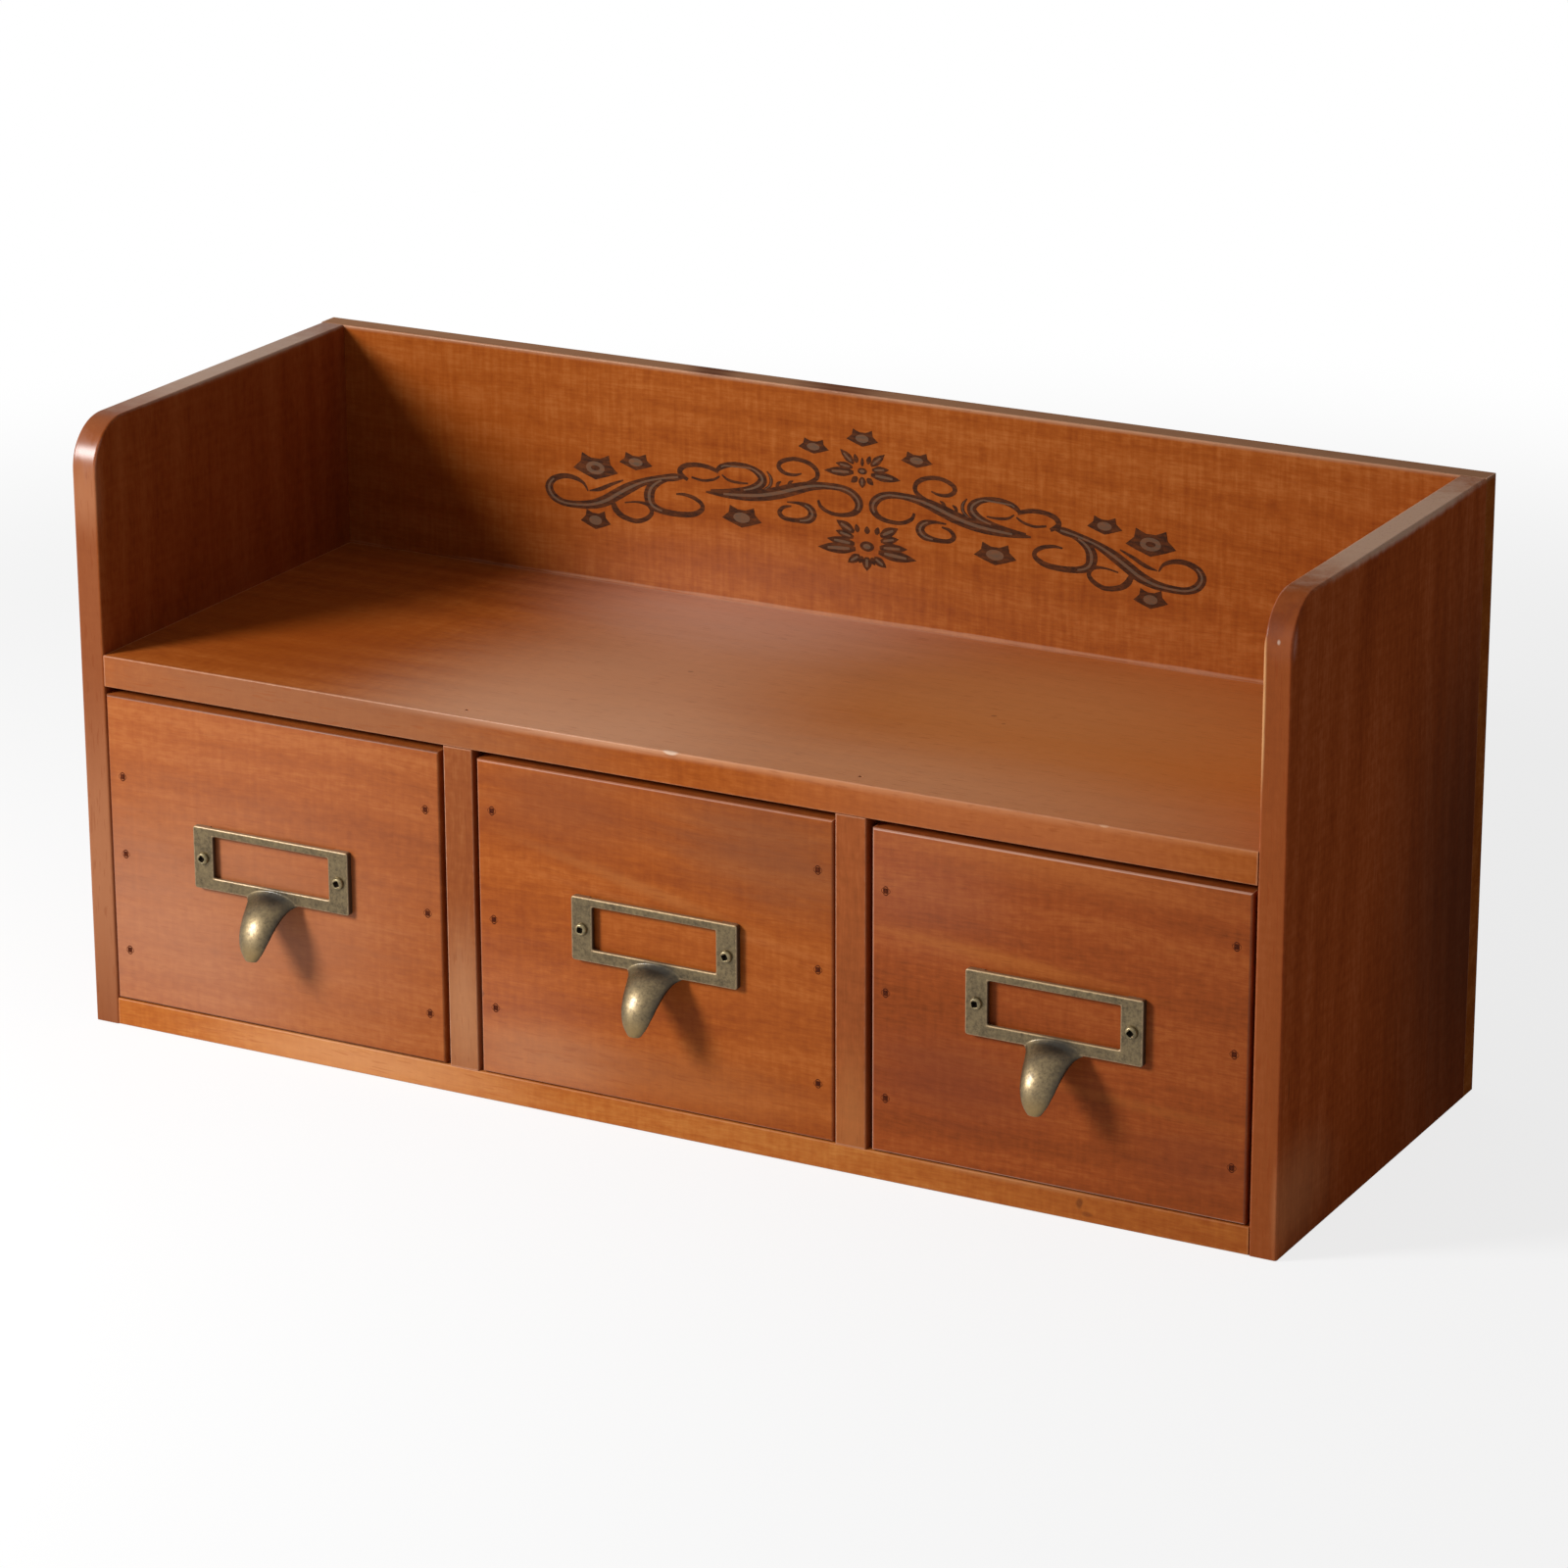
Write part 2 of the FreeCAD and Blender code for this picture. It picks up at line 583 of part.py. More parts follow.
def label_pull(drawer, place_x):
    body = new_body(drawer + "_drawer_label_pull", place_x + " + %s_pull_shift" % drawer)
    outline = new_sketch(body, "outline", "XZ", "-front_face")
    rectangle(outline, "-plate_wide / 2", "plate_low", "plate_wide", "plate_tall")
    plate = pad(body, outline, "plate_thick")
    ends = []
    for end in ("-plate_wide / 2", "plate_wide / 2"):
        for level in ("plate_low", "plate_low + plate_tall"):
            ends += both_planes(plate.Shape, ("x", number(end)), ("z", number(level)))
    plate = fillet(body, "corners", ends, "plate_corner")
    fillet(body, "ease", edges_in_planes(plate.Shape, ("y", number("plate_face"))), "plate_ease")
    sections = [tab_section(body, "tab", step, "0") for step in range(len(tab_turns))]
    tab = body.newObject("PartDesign::AdditiveLoft", body.Name + "_tab_loft")
    tab.Profile = sections[0]
    tab.Sections = sections[1:]
    doc.recompute([tab])
    hollows = [tab_section(body, "hollow", step, "tab_wall") for step in range(1, 6)]
    hollow = body.newObject("PartDesign::SubtractiveLoft", body.Name + "_hollow_loft")
    hollow.Profile = hollows[0]
    hollow.Sections = hollows[1:]
    doc.recompute([hollow])
    window = new_sketch(body, "window", "XZ", "-plate_face")
    rectangle(window, "-window_wide / 2", "window_low", "window_wide", "window_tall")
    pocket(body, window, "plate_thick")
    card = new_sketch(body, "card_slot", "XZ", "-front_face")
    rectangle(card, "-window_wide / 2 - card_margin", "window_low - card_margin / 2",
              "window_wide + 2 * card_margin", "plate_low + plate_tall - window_low + card_margin")
    pocket(body, card, "card_deep", outward=True)
    holes = new_sketch(body, "screw_holes", "XZ", "-plate_face")
    for x, z in screw_places:
        circle(holes, x, z, "screw_radius + screw_play")
    pocket(body, holes, "plate_thick")


def pull_screws(drawer, place_x):
    body = new_body(drawer + "_drawer_pull_screws", place_x + " + %s_pull_shift" % drawer)
    shanks = new_sketch(body, "shanks", "XZ", "-plate_face")
    heads = new_sketch(body, "heads", "XZ", "-plate_face")
    for x, z in screw_places:
        circle(shanks, x, z, "screw_radius")
        circle(heads, x, z, "screw_head_radius")
    pad(body, shanks, "screw_long", outward=False)
    head = pad(body, heads, "screw_head_tall")
    crown = ("y", number("plate_face - screw_head_tall"))
    fillet(body, "dome", edges_in_planes(head.Shape, crown), "screw_head_tall * 0.9")
    recesses = new_sketch(body, "recesses", "XZ", "-plate_face + screw_head_tall")
    for x, z in screw_places:
        circle(recesses, x, z, "recess_radius")
    pocket(body, recesses, "recess_deep")


def case():
    side_panel("left_side_panel", -1)
    side_panel("right_side_panel", 1)
    back_panel()
    shelf()
    bottom()
    divider("left_divider", -1)
    divider("right_divider", 1)
    case_fasteners()


def one_drawer(drawer, bay):
    place_x = "(%d * bay_pitch + %s_drawer_shift)" % (bay, drawer)
    drawer_front(drawer, place_x)
    drawer_wall(drawer, "left", place_x)
    drawer_wall(drawer, "right", place_x)
    drawer_back(drawer, place_x)
    drawer_ply(drawer, place_x)
    drawer_fasteners(drawer, place_x)
    label_pull(drawer, place_x)
    pull_screws(drawer, place_x)


def check_and_export():
    doc.recompute()
    for item in doc.Objects:
        if "Invalid" in item.State or "Error" in item.State:
            raise RuntimeError("%s failed: %s" % (item.Name, item.State))
        if item.TypeId in ("PartDesign::Pocket", "PartDesign::SubtractiveLoft"):
            if item.Shape.Volume >= item.BaseFeature.Shape.Volume - 1e-6:
                raise RuntimeError("%s cuts nothing" % item.Name)
    bodies = [item for item in doc.Objects if item.TypeId == "PartDesign::Body"]
    for body in bodies:
        if body.Shape.isNull() or not body.Shape.isValid():
            raise RuntimeError("%s has no valid shape" % body.Label)
    for body in bodies:
        body.Shape.exportStep("parts/%s.step" % body.Label)
        print("%-34s %2d solids %12.2f mm3" % (body.Label, len(body.Shape.Solids), body.Shape.Volume))
    print(len(bodies), "nodes")


fill_sheet()
case()
for bay, drawer in enumerate(("left", "middle", "right"), -1):
    one_drawer(drawer, bay)
check_and_export()
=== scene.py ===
import bmesh
import bpy
import json
import math
from mathutils import Matrix, Vector

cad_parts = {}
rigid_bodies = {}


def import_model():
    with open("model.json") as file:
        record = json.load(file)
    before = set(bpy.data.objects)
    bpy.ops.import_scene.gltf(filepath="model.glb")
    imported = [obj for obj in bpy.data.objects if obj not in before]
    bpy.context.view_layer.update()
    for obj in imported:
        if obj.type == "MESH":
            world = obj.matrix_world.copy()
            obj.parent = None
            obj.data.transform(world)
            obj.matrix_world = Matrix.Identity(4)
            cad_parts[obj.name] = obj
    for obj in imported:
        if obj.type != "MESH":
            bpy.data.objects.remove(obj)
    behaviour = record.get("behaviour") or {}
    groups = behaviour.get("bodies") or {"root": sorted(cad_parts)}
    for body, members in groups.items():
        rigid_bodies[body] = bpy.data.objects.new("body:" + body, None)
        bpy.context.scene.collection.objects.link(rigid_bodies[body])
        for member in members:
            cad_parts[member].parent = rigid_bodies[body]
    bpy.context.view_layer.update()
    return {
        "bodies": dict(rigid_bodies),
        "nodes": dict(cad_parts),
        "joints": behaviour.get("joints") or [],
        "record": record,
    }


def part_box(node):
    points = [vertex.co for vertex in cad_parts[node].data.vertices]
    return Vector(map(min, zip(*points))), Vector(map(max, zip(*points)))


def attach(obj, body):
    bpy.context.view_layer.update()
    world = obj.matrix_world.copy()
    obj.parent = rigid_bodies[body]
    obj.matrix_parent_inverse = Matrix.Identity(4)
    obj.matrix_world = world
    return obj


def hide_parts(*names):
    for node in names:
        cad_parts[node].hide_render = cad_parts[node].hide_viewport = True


# Desktop drawer organizer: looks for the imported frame. Metres, +X right, +Y back, +Z up.

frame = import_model()
nodes = frame["nodes"]
scene = bpy.context.scene
mm = 0.001
drawers = ("left", "middle", "right")


def newObject(name, data):
    made = bpy.data.objects.new(name, data)
    scene.collection.objects.link(made)
    return made


# small helpers for node trees

def srgb(code):
    # "#a0642c" to linear colour
    parts = [int(code[i:i + 2], 16) / 255 for i in (1, 3, 5)]
    return [p / 12.92 if p <= 0.04045 else ((p + 0.055) / 1.055) ** 2.4 for p in parts] + [1.0]


def put(tree, kind, **settings):
    made = tree.nodes.new(kind if kind.startswith("NodeGroup") else "ShaderNode" + kind)
    for name, value in settings.items():
        setattr(made, name, value)
    return made


def wire(value, socket):
    # a number, a tuple, a colour code or another node's output into a socket
    if isinstance(value, bpy.types.NodeSocket):
        socket.id_data.links.new(value, socket)
    else:
        socket.default_value = srgb(value) if isinstance(value, str) else value


def fill(made, **values):
    # sockets by name, with _ where the name has a space
    for name, value in values.items():
        wire(value, made.inputs[name.replace("_", " ")])


def feed(made, *values):
    # sockets in their order; gives back the first output
    for socket, value in zip(made.inputs, values):
        wire(value, socket)
    return made.outputs[0]


def putNear(values, kind, **settings):
    # a new node in the tree that the values come from
    tree = next(value.id_data for value in values if isinstance(value, bpy.types.NodeSocket))
    return put(tree, kind, **settings)


def calc(operation, *values):
    return feed(putNear(values, "Math", operation=operation), *values)


def plus(a, b):
    return calc("ADD", a, b)


def minus(a, b):
    return calc("SUBTRACT", a, b)


def times(a, b):
    return calc("MULTIPLY", a, b)


def vecCalc(operation, *values):
    made = putNear(values, "VectorMath", operation=operation)
    feed(made, *values)
    return made.outputs["Value" if operation == "LENGTH" else "Vector"]


def span(value, low, high, toLow=0.0, toHigh=1.0, kind="LINEAR"):
    made = put(value.id_data, "MapRange", interpolation_type=kind)
    return feed(made, value, low, high, toLow, toHigh)


def fade(value, low, high, toLow=0.0, toHigh=1.0):
    return span(value, low, high, toLow, toHigh, "SMOOTHSTEP")


def mixColor(*values):
    # the factor, then two colours
    made = putNear(values, "Mix", data_type="RGBA")
    for place, value in zip((0, 6, 7), values):
        wire(value, made.inputs[place])
    return made.outputs[2]


def colorRamp(value, look, low, high):
    # the look's dark, mid and light over a value
    made = put(value.id_data, "ValToRGB")
    stops = made.color_ramp.elements
    stops[0].position, stops[1].position = low, high
    stops[0].color, stops[1].color = srgb(look["dark"]), srgb(look["light"])
    stops.new(0.5).color = srgb(look["mid"])
    return feed(made, value)


def stretchedNoise(vector, scale, detail=2.0, rough=0.5):
    # noise whose cells are 1 / scale metres long, each way by itself where scale is a tuple
    made = put(vector.id_data, "TexNoise")
    vector = vecCalc("MULTIPLY", vector, scale if isinstance(scale, tuple) else (scale,) * 3)
    fill(made, Vector=vector, Scale=1.0, Detail=detail, Roughness=rough)
    return made.outputs[0]


def split(vector):
    made = put(vector.id_data, "SeparateXYZ")
    feed(made, vector)
    return made.outputs


def joinUp(*values):
    return feed(putNear(values, "CombineXYZ"), *values)


def newGroup(name, inputs, outputs=("Mask",)):
    group = bpy.data.node_groups.new(name, "ShaderNodeTree")
    # every group has a Vector input
    for label, value in {"Vector": (0, 0, 0), **inputs}.items():
        kind = "NodeSocketVector" if isinstance(value, tuple) else "NodeSocketFloat"
        made = group.interface.new_socket(name=label, in_out="INPUT", socket_type=kind)
        made.default_value = value
    for label in outputs:
        group.interface.new_socket(name=label, in_out="OUTPUT", socket_type="NodeSocketFloat")
    return group, put(group, "NodeGroupInput").outputs, put(group, "NodeGroupOutput").inputs


def useGroup(group, **values):
    made = putNear(values.values(), "Group", node_tree=group)
    fill(made, **values)
    return made.outputs


def newMaterial(name):
    material = bpy.data.materials.new(name)
    material.use_nodes = True
    tree = material.node_tree
    return material, tree.nodes["Principled BSDF"], put(tree, "TexCoord").outputs


def bumpFrom(surface, height, strength, distance):
    bump = put(surface.id_data, "Bump")
    fill(bump, Height=height, Strength=strength, Distance=distance)
    fill(surface, Normal=bump.outputs[0])


# camera as in the photograph

view = {
    "azimuth": 28.5, "elevation": 18.76, "roll": -0.19,     # degrees
    "distance": 1.786, "target": (0.0006, 0.007, 0.0895), "lens": 129.1,
}


def addCamera():
    az, el, roll = (math.radians(view[k]) for k in ("azimuth", "elevation", "roll"))
    back = Vector((math.sin(az) * math.cos(el), -math.cos(az) * math.cos(el), math.sin(el)))
    right = Vector((math.cos(az), math.sin(az), 0))
    up = back.cross(right)
    axisX = right * math.cos(roll) + up * math.sin(roll)
    axisY = up * math.cos(roll) - right * math.sin(roll)
    data = bpy.data.cameras.new("camera")
    data.lens = view["lens"]
    data.sensor_width = 36.0
    data.clip_end = 20
    camera = newObject("camera", data)
    camera.matrix_world = Matrix((axisX, axisY, back)).transposed().to_4x4()
    camera.matrix_world.translation = Vector(view["target"]) + back * view["distance"]
    scene.camera = camera


# lights and stage

lamp = {"at": (-0.635, -0.701, 0.52), "aim": (0.02, 0, 0.09), "size": 0.3, "power": 10.5}
stage = {
    "ambient": 0.19, "floorColor": "#dcdad7", "floorSize": 6, "below": 0.2 * mm,
    "floorGlow": 0.79, "floorShade": 0.22,      # how white the seen floor is, and how much shadow it keeps
    "clear": (0.55, 0.95),                      # where the floor fades into the white round it
}


def addLamp():
    data = bpy.data.lights.new("keyLamp", "AREA")
    data.shape = "DISK"
    data.size = lamp["size"]
    data.energy = lamp["power"]
    made = newObject("keyLamp", data)
    made.location = lamp["at"]
    toward = Vector(lamp["aim"]) - Vector(lamp["at"])
    made.rotation_euler = toward.to_track_quat("-Z", "Y").to_euler()


def shownBackground(tree):
    # 1 for camera, glossy and transmission rays
    path = put(tree, "LightPath").outputs
    either = calc("MAXIMUM", path["Is Camera Ray"], path["Is Glossy Ray"])
    return calc("MAXIMUM", either, path["Is Transmission Ray"])


def addWorld():
    world = bpy.data.worlds.new("studio")
    world.use_nodes = True
    tree = world.node_tree
    strength = span(shownBackground(tree), 0, 1, stage["ambient"], 1.0)
    fill(tree.nodes["Background"], Color=(1, 1, 1, 1), Strength=strength)
    scene.world = world


def addFloor():
    mesh = bpy.data.meshes.new("floor")
    bm = bmesh.new()
    bmesh.ops.create_grid(bm, x_segments=2, y_segments=2, size=stage["floorSize"])
    bm.to_mesh(mesh)
    bm.free()
    floor = newObject("floor", mesh)
    floor.location.z = -stage["below"]
    material, surface, coords = newMaterial("paleFloor")
    tree = material.node_tree
    tree.nodes.remove(surface)
    cleared = fade(vecCalc("LENGTH", coords["Object"]), *stage["clear"])
    shade = span(cleared, 0, 1, stage["floorShade"], 0.0)
    plain = feed(put(tree, "BsdfDiffuse"), stage["floorColor"])
    shaded = feed(put(tree, "BsdfDiffuse"), joinUp(shade, shade, shade))
    glow = put(tree, "Emission")
    fill(glow, Strength=span(cleared, 0, 1, stage["floorGlow"], 1.0))
    seen = feed(put(tree, "AddShader"), shaded, glow.outputs[0])
    chosen = feed(put(tree, "MixShader"), shownBackground(tree), plain, seen)
    wire(chosen, tree.nodes["Material Output"].inputs["Surface"])
    mesh.materials.append(material)


addCamera()
addLamp()
addWorld()
addFloor()
scene.view_settings.view_transform = "Standard"
print("stage ready")


# effects shared by the materials

cornerRadius = 16 * mm      # of the side panels' top front corners


def makeWoodGrain():
    # Vector has X along the grain, Y across the face, Z into the board
    group, given, out = newGroup(
        "woodGrain",
        {"Seed": 0.0, "Ring Spacing": 7 * mm, "Heart": 0.04, "Lean": 0.0},
        ["Rings", "Clouds", "Streaks", "Lines", "Fibre", "Mottle", "Pores", "Figure"])
    offset = vecCalc("MULTIPLY", (0.731, 0.377, 0.113), given["Seed"])
    x, y, z = split(given["Vector"])
    warp = stretchedNoise(vecCalc("ADD", given["Vector"], offset), (6, 20, 20))
    bent = plus(y, span(warp, 0, 1, -7 * mm, 7 * mm))
    deep = plus(plus(z, given["Heart"]), times(x, given["Lean"]))
    radius = vecCalc("LENGTH", joinUp(bent, deep, 0))
    turns = calc("DIVIDE", times(radius, 2 * math.pi), given["Ring Spacing"])
    wire(span(calc("SINE", turns), -1, 1), out["Rings"])
    flow = vecCalc("ADD", joinUp(x, bent, z), offset)
    layers = {
        "Clouds": ((4, 16, 16), 2.0), "Streaks": ((8, 130, 130), 3.0), "Lines": ((45, 700, 700), 2.0),
        "Fibre": ((150, 1900, 1900), 1.0), "Figure": ((620, 55, 55), 2.0), "Mottle": ((330, 480, 480), 2.5),
    }
    for name, (scale, detail) in layers.items():
        wire(stretchedNoise(flow, scale, detail), out[name])
    dots = stretchedNoise(flow, (150, 1700, 1700), 0.0)
    wire(fade(dots, 0.68, 0.76), out["Pores"])
    return group


def edgeMask(given, near):
    # 1 at the edge, and gone at a ragged reach of about Width
    ragged = stretchedNoise(given["Vector"], 500, 3.0, 0.6)
    reach = times(given["Width"], span(ragged, 0.3, 0.7, 0.7, 1.3))
    return fade(calc("DIVIDE", near, reach), 0.4, 1.0, 1.0, 0.0)


def makeBoardEdges():
    # mask along the edges of a box-shaped board, from its centre and half sizes
    group, given, out = newGroup("boardEdges", {"Centre": (0, 0, 0), "Half": (1, 1, 1), "Width": mm})
    off = vecCalc("ABSOLUTE", vecCalc("SUBTRACT", given["Vector"], given["Centre"]))
    x, y, z = split(vecCalc("SUBTRACT", given["Half"], off))
    total = plus(plus(x, y), z)
    near = minus(total, calc("MAXIMUM", calc("MAXIMUM", x, y), z))
    wire(edgeMask(given, near), out["Mask"])
    return group


def makePanelEdge():
    # the same for a side panel with a rounded top front corner; Corner is the round's centre
    group, given, out = newGroup(
        "panelEdge", {"Middle": 0.0, "Half": 4.5 * mm, "Corner": (0, 0, 0), "Radius": cornerRadius,
                      "Width": mm})
    x, y, z = split(given["Vector"])
    cornerX, cornerY, cornerZ = split(given["Corner"])
    forward = calc("MAXIMUM", minus(cornerY, y), 0.0)
    above = calc("MAXIMUM", minus(z, cornerZ), 0.0)
    inset = minus(given["Radius"], vecCalc("LENGTH", joinUp(forward, above, 0)))
    side = calc("ABSOLUTE", minus(x, given["Middle"]))
    near = plus(inset, minus(given["Half"], side))
    wire(edgeMask(given, near), out["Mask"])
    return group


def makeSoftPatch():
    # a soft-edged oval, sheared by Slope along the grain, with a ragged outline
    group, given, out = newGroup(
        "softPatch", {"Centre": (0, 0, 0), "Size": (1, 1, 1), "Slope": 0.0, "Ragged": 0.5, "Soft": 0.5})
    x, y, z = split(vecCalc("SUBTRACT", given["Vector"], given["Centre"]))
    leant = joinUp(x, minus(y, times(x, given["Slope"])), z)
    share = vecCalc("LENGTH", vecCalc("DIVIDE", leant, given["Size"]))
    rough = stretchedNoise(leant, (25, 220, 220), 3.0, 0.6)
    share = plus(share, times(minus(rough, 0.5), given["Ragged"]))
    start = minus(1.0, given["Soft"])
    wire(fade(share, start, 1.0, 1.0, 0.0), out["Mask"])
    return group


woodGrain = makeWoodGrain()
boardEdges = makeBoardEdges()
panelEdge = makePanelEdge()
softPatch = makeSoftPatch()


# wood

# which object axes become X (along the grain), Y (across the face) and Z (into the board)
grainTurns = {"x_on_front": "XZY", "x_on_top": "XYZ", "z_on_side": "ZYX", "z_on_front": "ZXY",
              "y_on_side": "YZX"}

stained = {
    # edge: pale edge tint, partly wear, partly painted highlight; rim: duller tint on the narrow faces,
    # partly painted sheen; ease: pale tint on the eased edges, a painted highlight
    "dark": "#8c4116", "mid": "#a4541e", "light": "#b9692f", "edge": "#c38a68", "rim": "#a4541e",
    "ease": "#c0927c", "easeAmount": 0.0,
    "rings": 0.08, "clouds": 0.3, "streaks": 0.22, "lines": 0.16, "fibre": 0.16, "mottle": 0.26,
    "figure": 0.15, "pores": 0.25,
    "edgeWidth": 0.6 * mm, "edgeAmount": 0.4, "edgeCoat": 0.3, "rimAmount": 0.0,
    "rough": 0.42, "specular": 0.1, "coatRough": 0.3,
    "spacing": 9 * mm, "heart": 0.05, "lean": 0.05, "bump": 0.1, "patches": (), "polish": (),
    "ramp": (0.1, 0.9), "cover": 0.75,      # the tones' range, and how much of the grain a patch hides
    "shadedEdgeShare": 0.15,                      # share of the wear, painted highlight and gloss left on edges turned to the right, away from the lamp
}
bareWood = dict(stained, dark="#9b7448", mid="#b88f5e", light="#cca878", edge="#c9a77c", rough=0.62,
                specular=0.25, edgeCoat=0.0, rings=0.35)
plywood = dict(bareWood, dark="#b28c5c", mid="#c9a472", light="#d8b98c", spacing=22 * mm)


def patch(color, amount, at, size, slope=0.0, ragged=0.3, soft=0.9, face=0, deep=None):
    # at and size in mm: along the grain and across it, from the middle of the board's face;
    # face is -1 or 1 for a patch on one side of the board only; it fades out at the depth deep
    return {"color": color, "amount": amount, "at": at, "size": size, "slope": slope, "ragged": ragged,
            "soft": soft, "face": face, "deep": deep or (3 if face else 1000)}


def shine(amount, at, size, **more):
    # a place with more gloss
    return patch("", amount, at, size, **more)


divider = dict(stained, turn="z_on_front", easeAmount=0.45, edgeCoat=0.6, coatRough=0.5)
caseBoards = {
    "left_side_panel": dict(stained, turn="z_on_side", seed=3.1, specular=0.04, dark="#743213",
                            mid="#8c431a", light="#9c5428", rim="#80492c", rimAmount=0.75, patches=(
        # painted sheen: the front edge paler and pinkish
        patch("#b8805c", 0.6, (-50, -75), (80, 8)),
        patch("#b8805c", 0.5, (78, -75), (18, 8), ragged=0.5),
        # painted sheen: the top face paler and greyer
        patch("#c0a080", 0.65, (102, 12), (3, 85), soft=0.6),
    ), polish=(
        shine(0.7, (93, -73), (12, 7), ragged=1.4, soft=0.7),
        shine(0.3, (102, 12), (4, 85), soft=0.6),
    )),
    "right_side_panel": dict(stained, turn="z_on_side", seed=7.7, specular=0.0, dark="#93401d",
                             mid="#ae5326", light="#c4693c", rim="#93522c", rimAmount=0.65, patches=(
        # painted shade: the outer face darker towards the rear, where the lamp's light falls off
        patch("#553024", 1.0, (-30, 77), (150, 100), face=1),
        patch("#d08e60", 0.5, (-85, -62), (26, 42), ragged=0.4, face=1),
        # painted sheen: the end-grain top paler and greyer
        patch("#cda27c", 0.95, (102, 12), (3.5, 88), soft=0.6),
        # painted shade on the rounded top front corner
        patch("#6c3527", 0.7, (100, -76), (13, 13), ragged=0.9, soft=0.6),
        # partly wear, partly painted highlight: a bright line along the inner front arris
        patch("#f2bb80", 0.8, (70, -73), (38, 1.2), ragged=0.6, soft=0.6, face=-1, deep=1.4),
        patch("#3a1c12", 0.7, (-49, -67), (5, 0.5), ragged=0.6, soft=0.6, face=1),
        # painted glint on the rounded corner
        patch("#f0dcc8", 0.6, (88.5, -73), (1.0, 1.5), ragged=0.8, soft=0.7, deep=0.7),
    ), polish=(
        shine(0.3, (90, -74), (10, 6), ragged=0.4, soft=0.7),
        shine(0.35, (102, 12), (4, 88), ragged=0.6, soft=0.6),
    )),
    "back_panel": dict(stained, turn="x_on_front", seed=1.3, spacing=10 * mm, specular=0.0, figure=0.3,
                       dark="#884119", mid="#9f5421", light="#b36a34", patches=(
        # painted sheen: the top edge paler, pinkish grey
        patch("#b98f70", 0.95, (0, 102), (900, 2.6), ragged=0.2, soft=0.5),
        # painted shadow: darker, saturated upper left of the front face, deepening the left panel's shadow
        patch("#7c3400", 0.55, (-165, 62), (100, 75), face=-1),
        patch("#5e2c1e", 1.0, (-61, 102), (14, 2), ragged=0.8, soft=0.6),
        patch("#6e3826", 1.0, (-14, 102), (22, 2), ragged=0.8, soft=0.6),
        patch("#c89c80", 0.55, (20, 25.6), (215, 0.9), ragged=1.5, soft=0.5, face=-1),
    ), polish=(
        shine(0.62, (-40, 22), (150, 42), ragged=0.2, soft=0.8, face=-1),
        shine(0.45, (70, 20), (150, 42), ragged=0.2, soft=0.8, face=-1),
    )),
    "shelf_board": dict(stained, turn="x_on_top", seed=5.2, specular=0.04, edgeCoat=0.15, patches=(
        patch("#d27f3e", 0.95, (135, 12), (190, 170), ragged=0.2, face=1),
        # painted reflection: this and the next three pale patches stand for the lamp's light glancing off the
        # varnish, fading to the right
        patch("#d69c76", 0.9, (-40, -50), (90, 170), ragged=0.15, soft=0.8, face=1),
        patch("#d8a078", 0.65, (60, -68), (200, 62), ragged=0.15, face=1),
        patch("#d8a286", 0.75, (-35, 66), (110, 62), ragged=0.2, face=1),
        patch("#d0905e", 0.5, (75, 25), (130, 75), face=1),
        # painted shadow: darker, saturated left part, deepening the left panel's shadow
        patch("#96440c", 0.75, (-155, -25), (56, 66), ragged=0.2, face=1),
        patch("#c89c80", 0.5, (20, 72.3), (215, 0.8), ragged=1.5, soft=0.5, face=1),
        patch("#8a5c41", 1.0, (-125, -73), (150, 1.2)),
        patch("#ba7048", 0.6, (120, -73), (110, 1.2)),
        patch("#5e3322", 0.6, (-26.8, -0.2), (1.3, 0.9), ragged=0.5, soft=0.5, face=1),
        patch("#5e3322", 0.6, (78, 4.2), (1.3, 0.9), ragged=0.5, soft=0.5, face=1),
        patch("#5e3322", 0.5, (84.1, -1.4), (1.0, 0.8), ragged=0.5, soft=0.5, face=1),
        patch("#ecd4bc", 1.0, (7, -73), (3.2, 1.1), ragged=1.2, soft=0.4, face=1, deep=1.4),
        patch("#e2b48e", 0.8, (152, -73), (2, 0.7), ragged=1.2, soft=0.4, face=1, deep=0.8),
    ), polish=(
        shine(0.5, (-40, -20), (120, 160), ragged=0.2, soft=0.8, face=1),
    )),
    "bottom_board": dict(stained, turn="x_on_front", seed=8.4, dark="#9a4b1a", mid="#b26529", light="#c57e3c",
                         edge="#c98a5c", edgeAmount=0.25, edgeCoat=0.1, patches=(
        # painted sheen: the left part paler, where the lit floor is reflected
        patch("#d49868", 0.8, (-110, 0), (85, 12), ragged=0.4),
        patch("#5e2f18", 0.8, (146, 1.0), (1.5, 2.4), slope=0.3, ragged=1.0, soft=0.6, face=-1),
        patch("#6e3a1e", 0.6, (148.5, -2.0), (2.4, 1.2), ragged=1.0, soft=0.6, face=-1),
        patch("#c98f5c", 0.5, (126, 4.6), (46, 2.2), ragged=0.5, soft=0.8, face=-1),
    )),
    "left_divider": dict(divider, seed=2.9, dark="#7d3d1c", mid="#8f4c24", light="#a06034", patches=(
        patch("#c9946a", 0.6, (-34, 0), (42, 14)),
    )),
    "right_divider": dict(divider, seed=4.6, dark="#8a4720", mid="#a05428", light="#b06638", patches=(
        patch("#c4824a", 0.45, (-46, 0), (34, 14)),
    )),
}
front = dict(stained, turn="x_on_front", easeAmount=0.45, edgeCoat=0.6, coatRough=0.45)
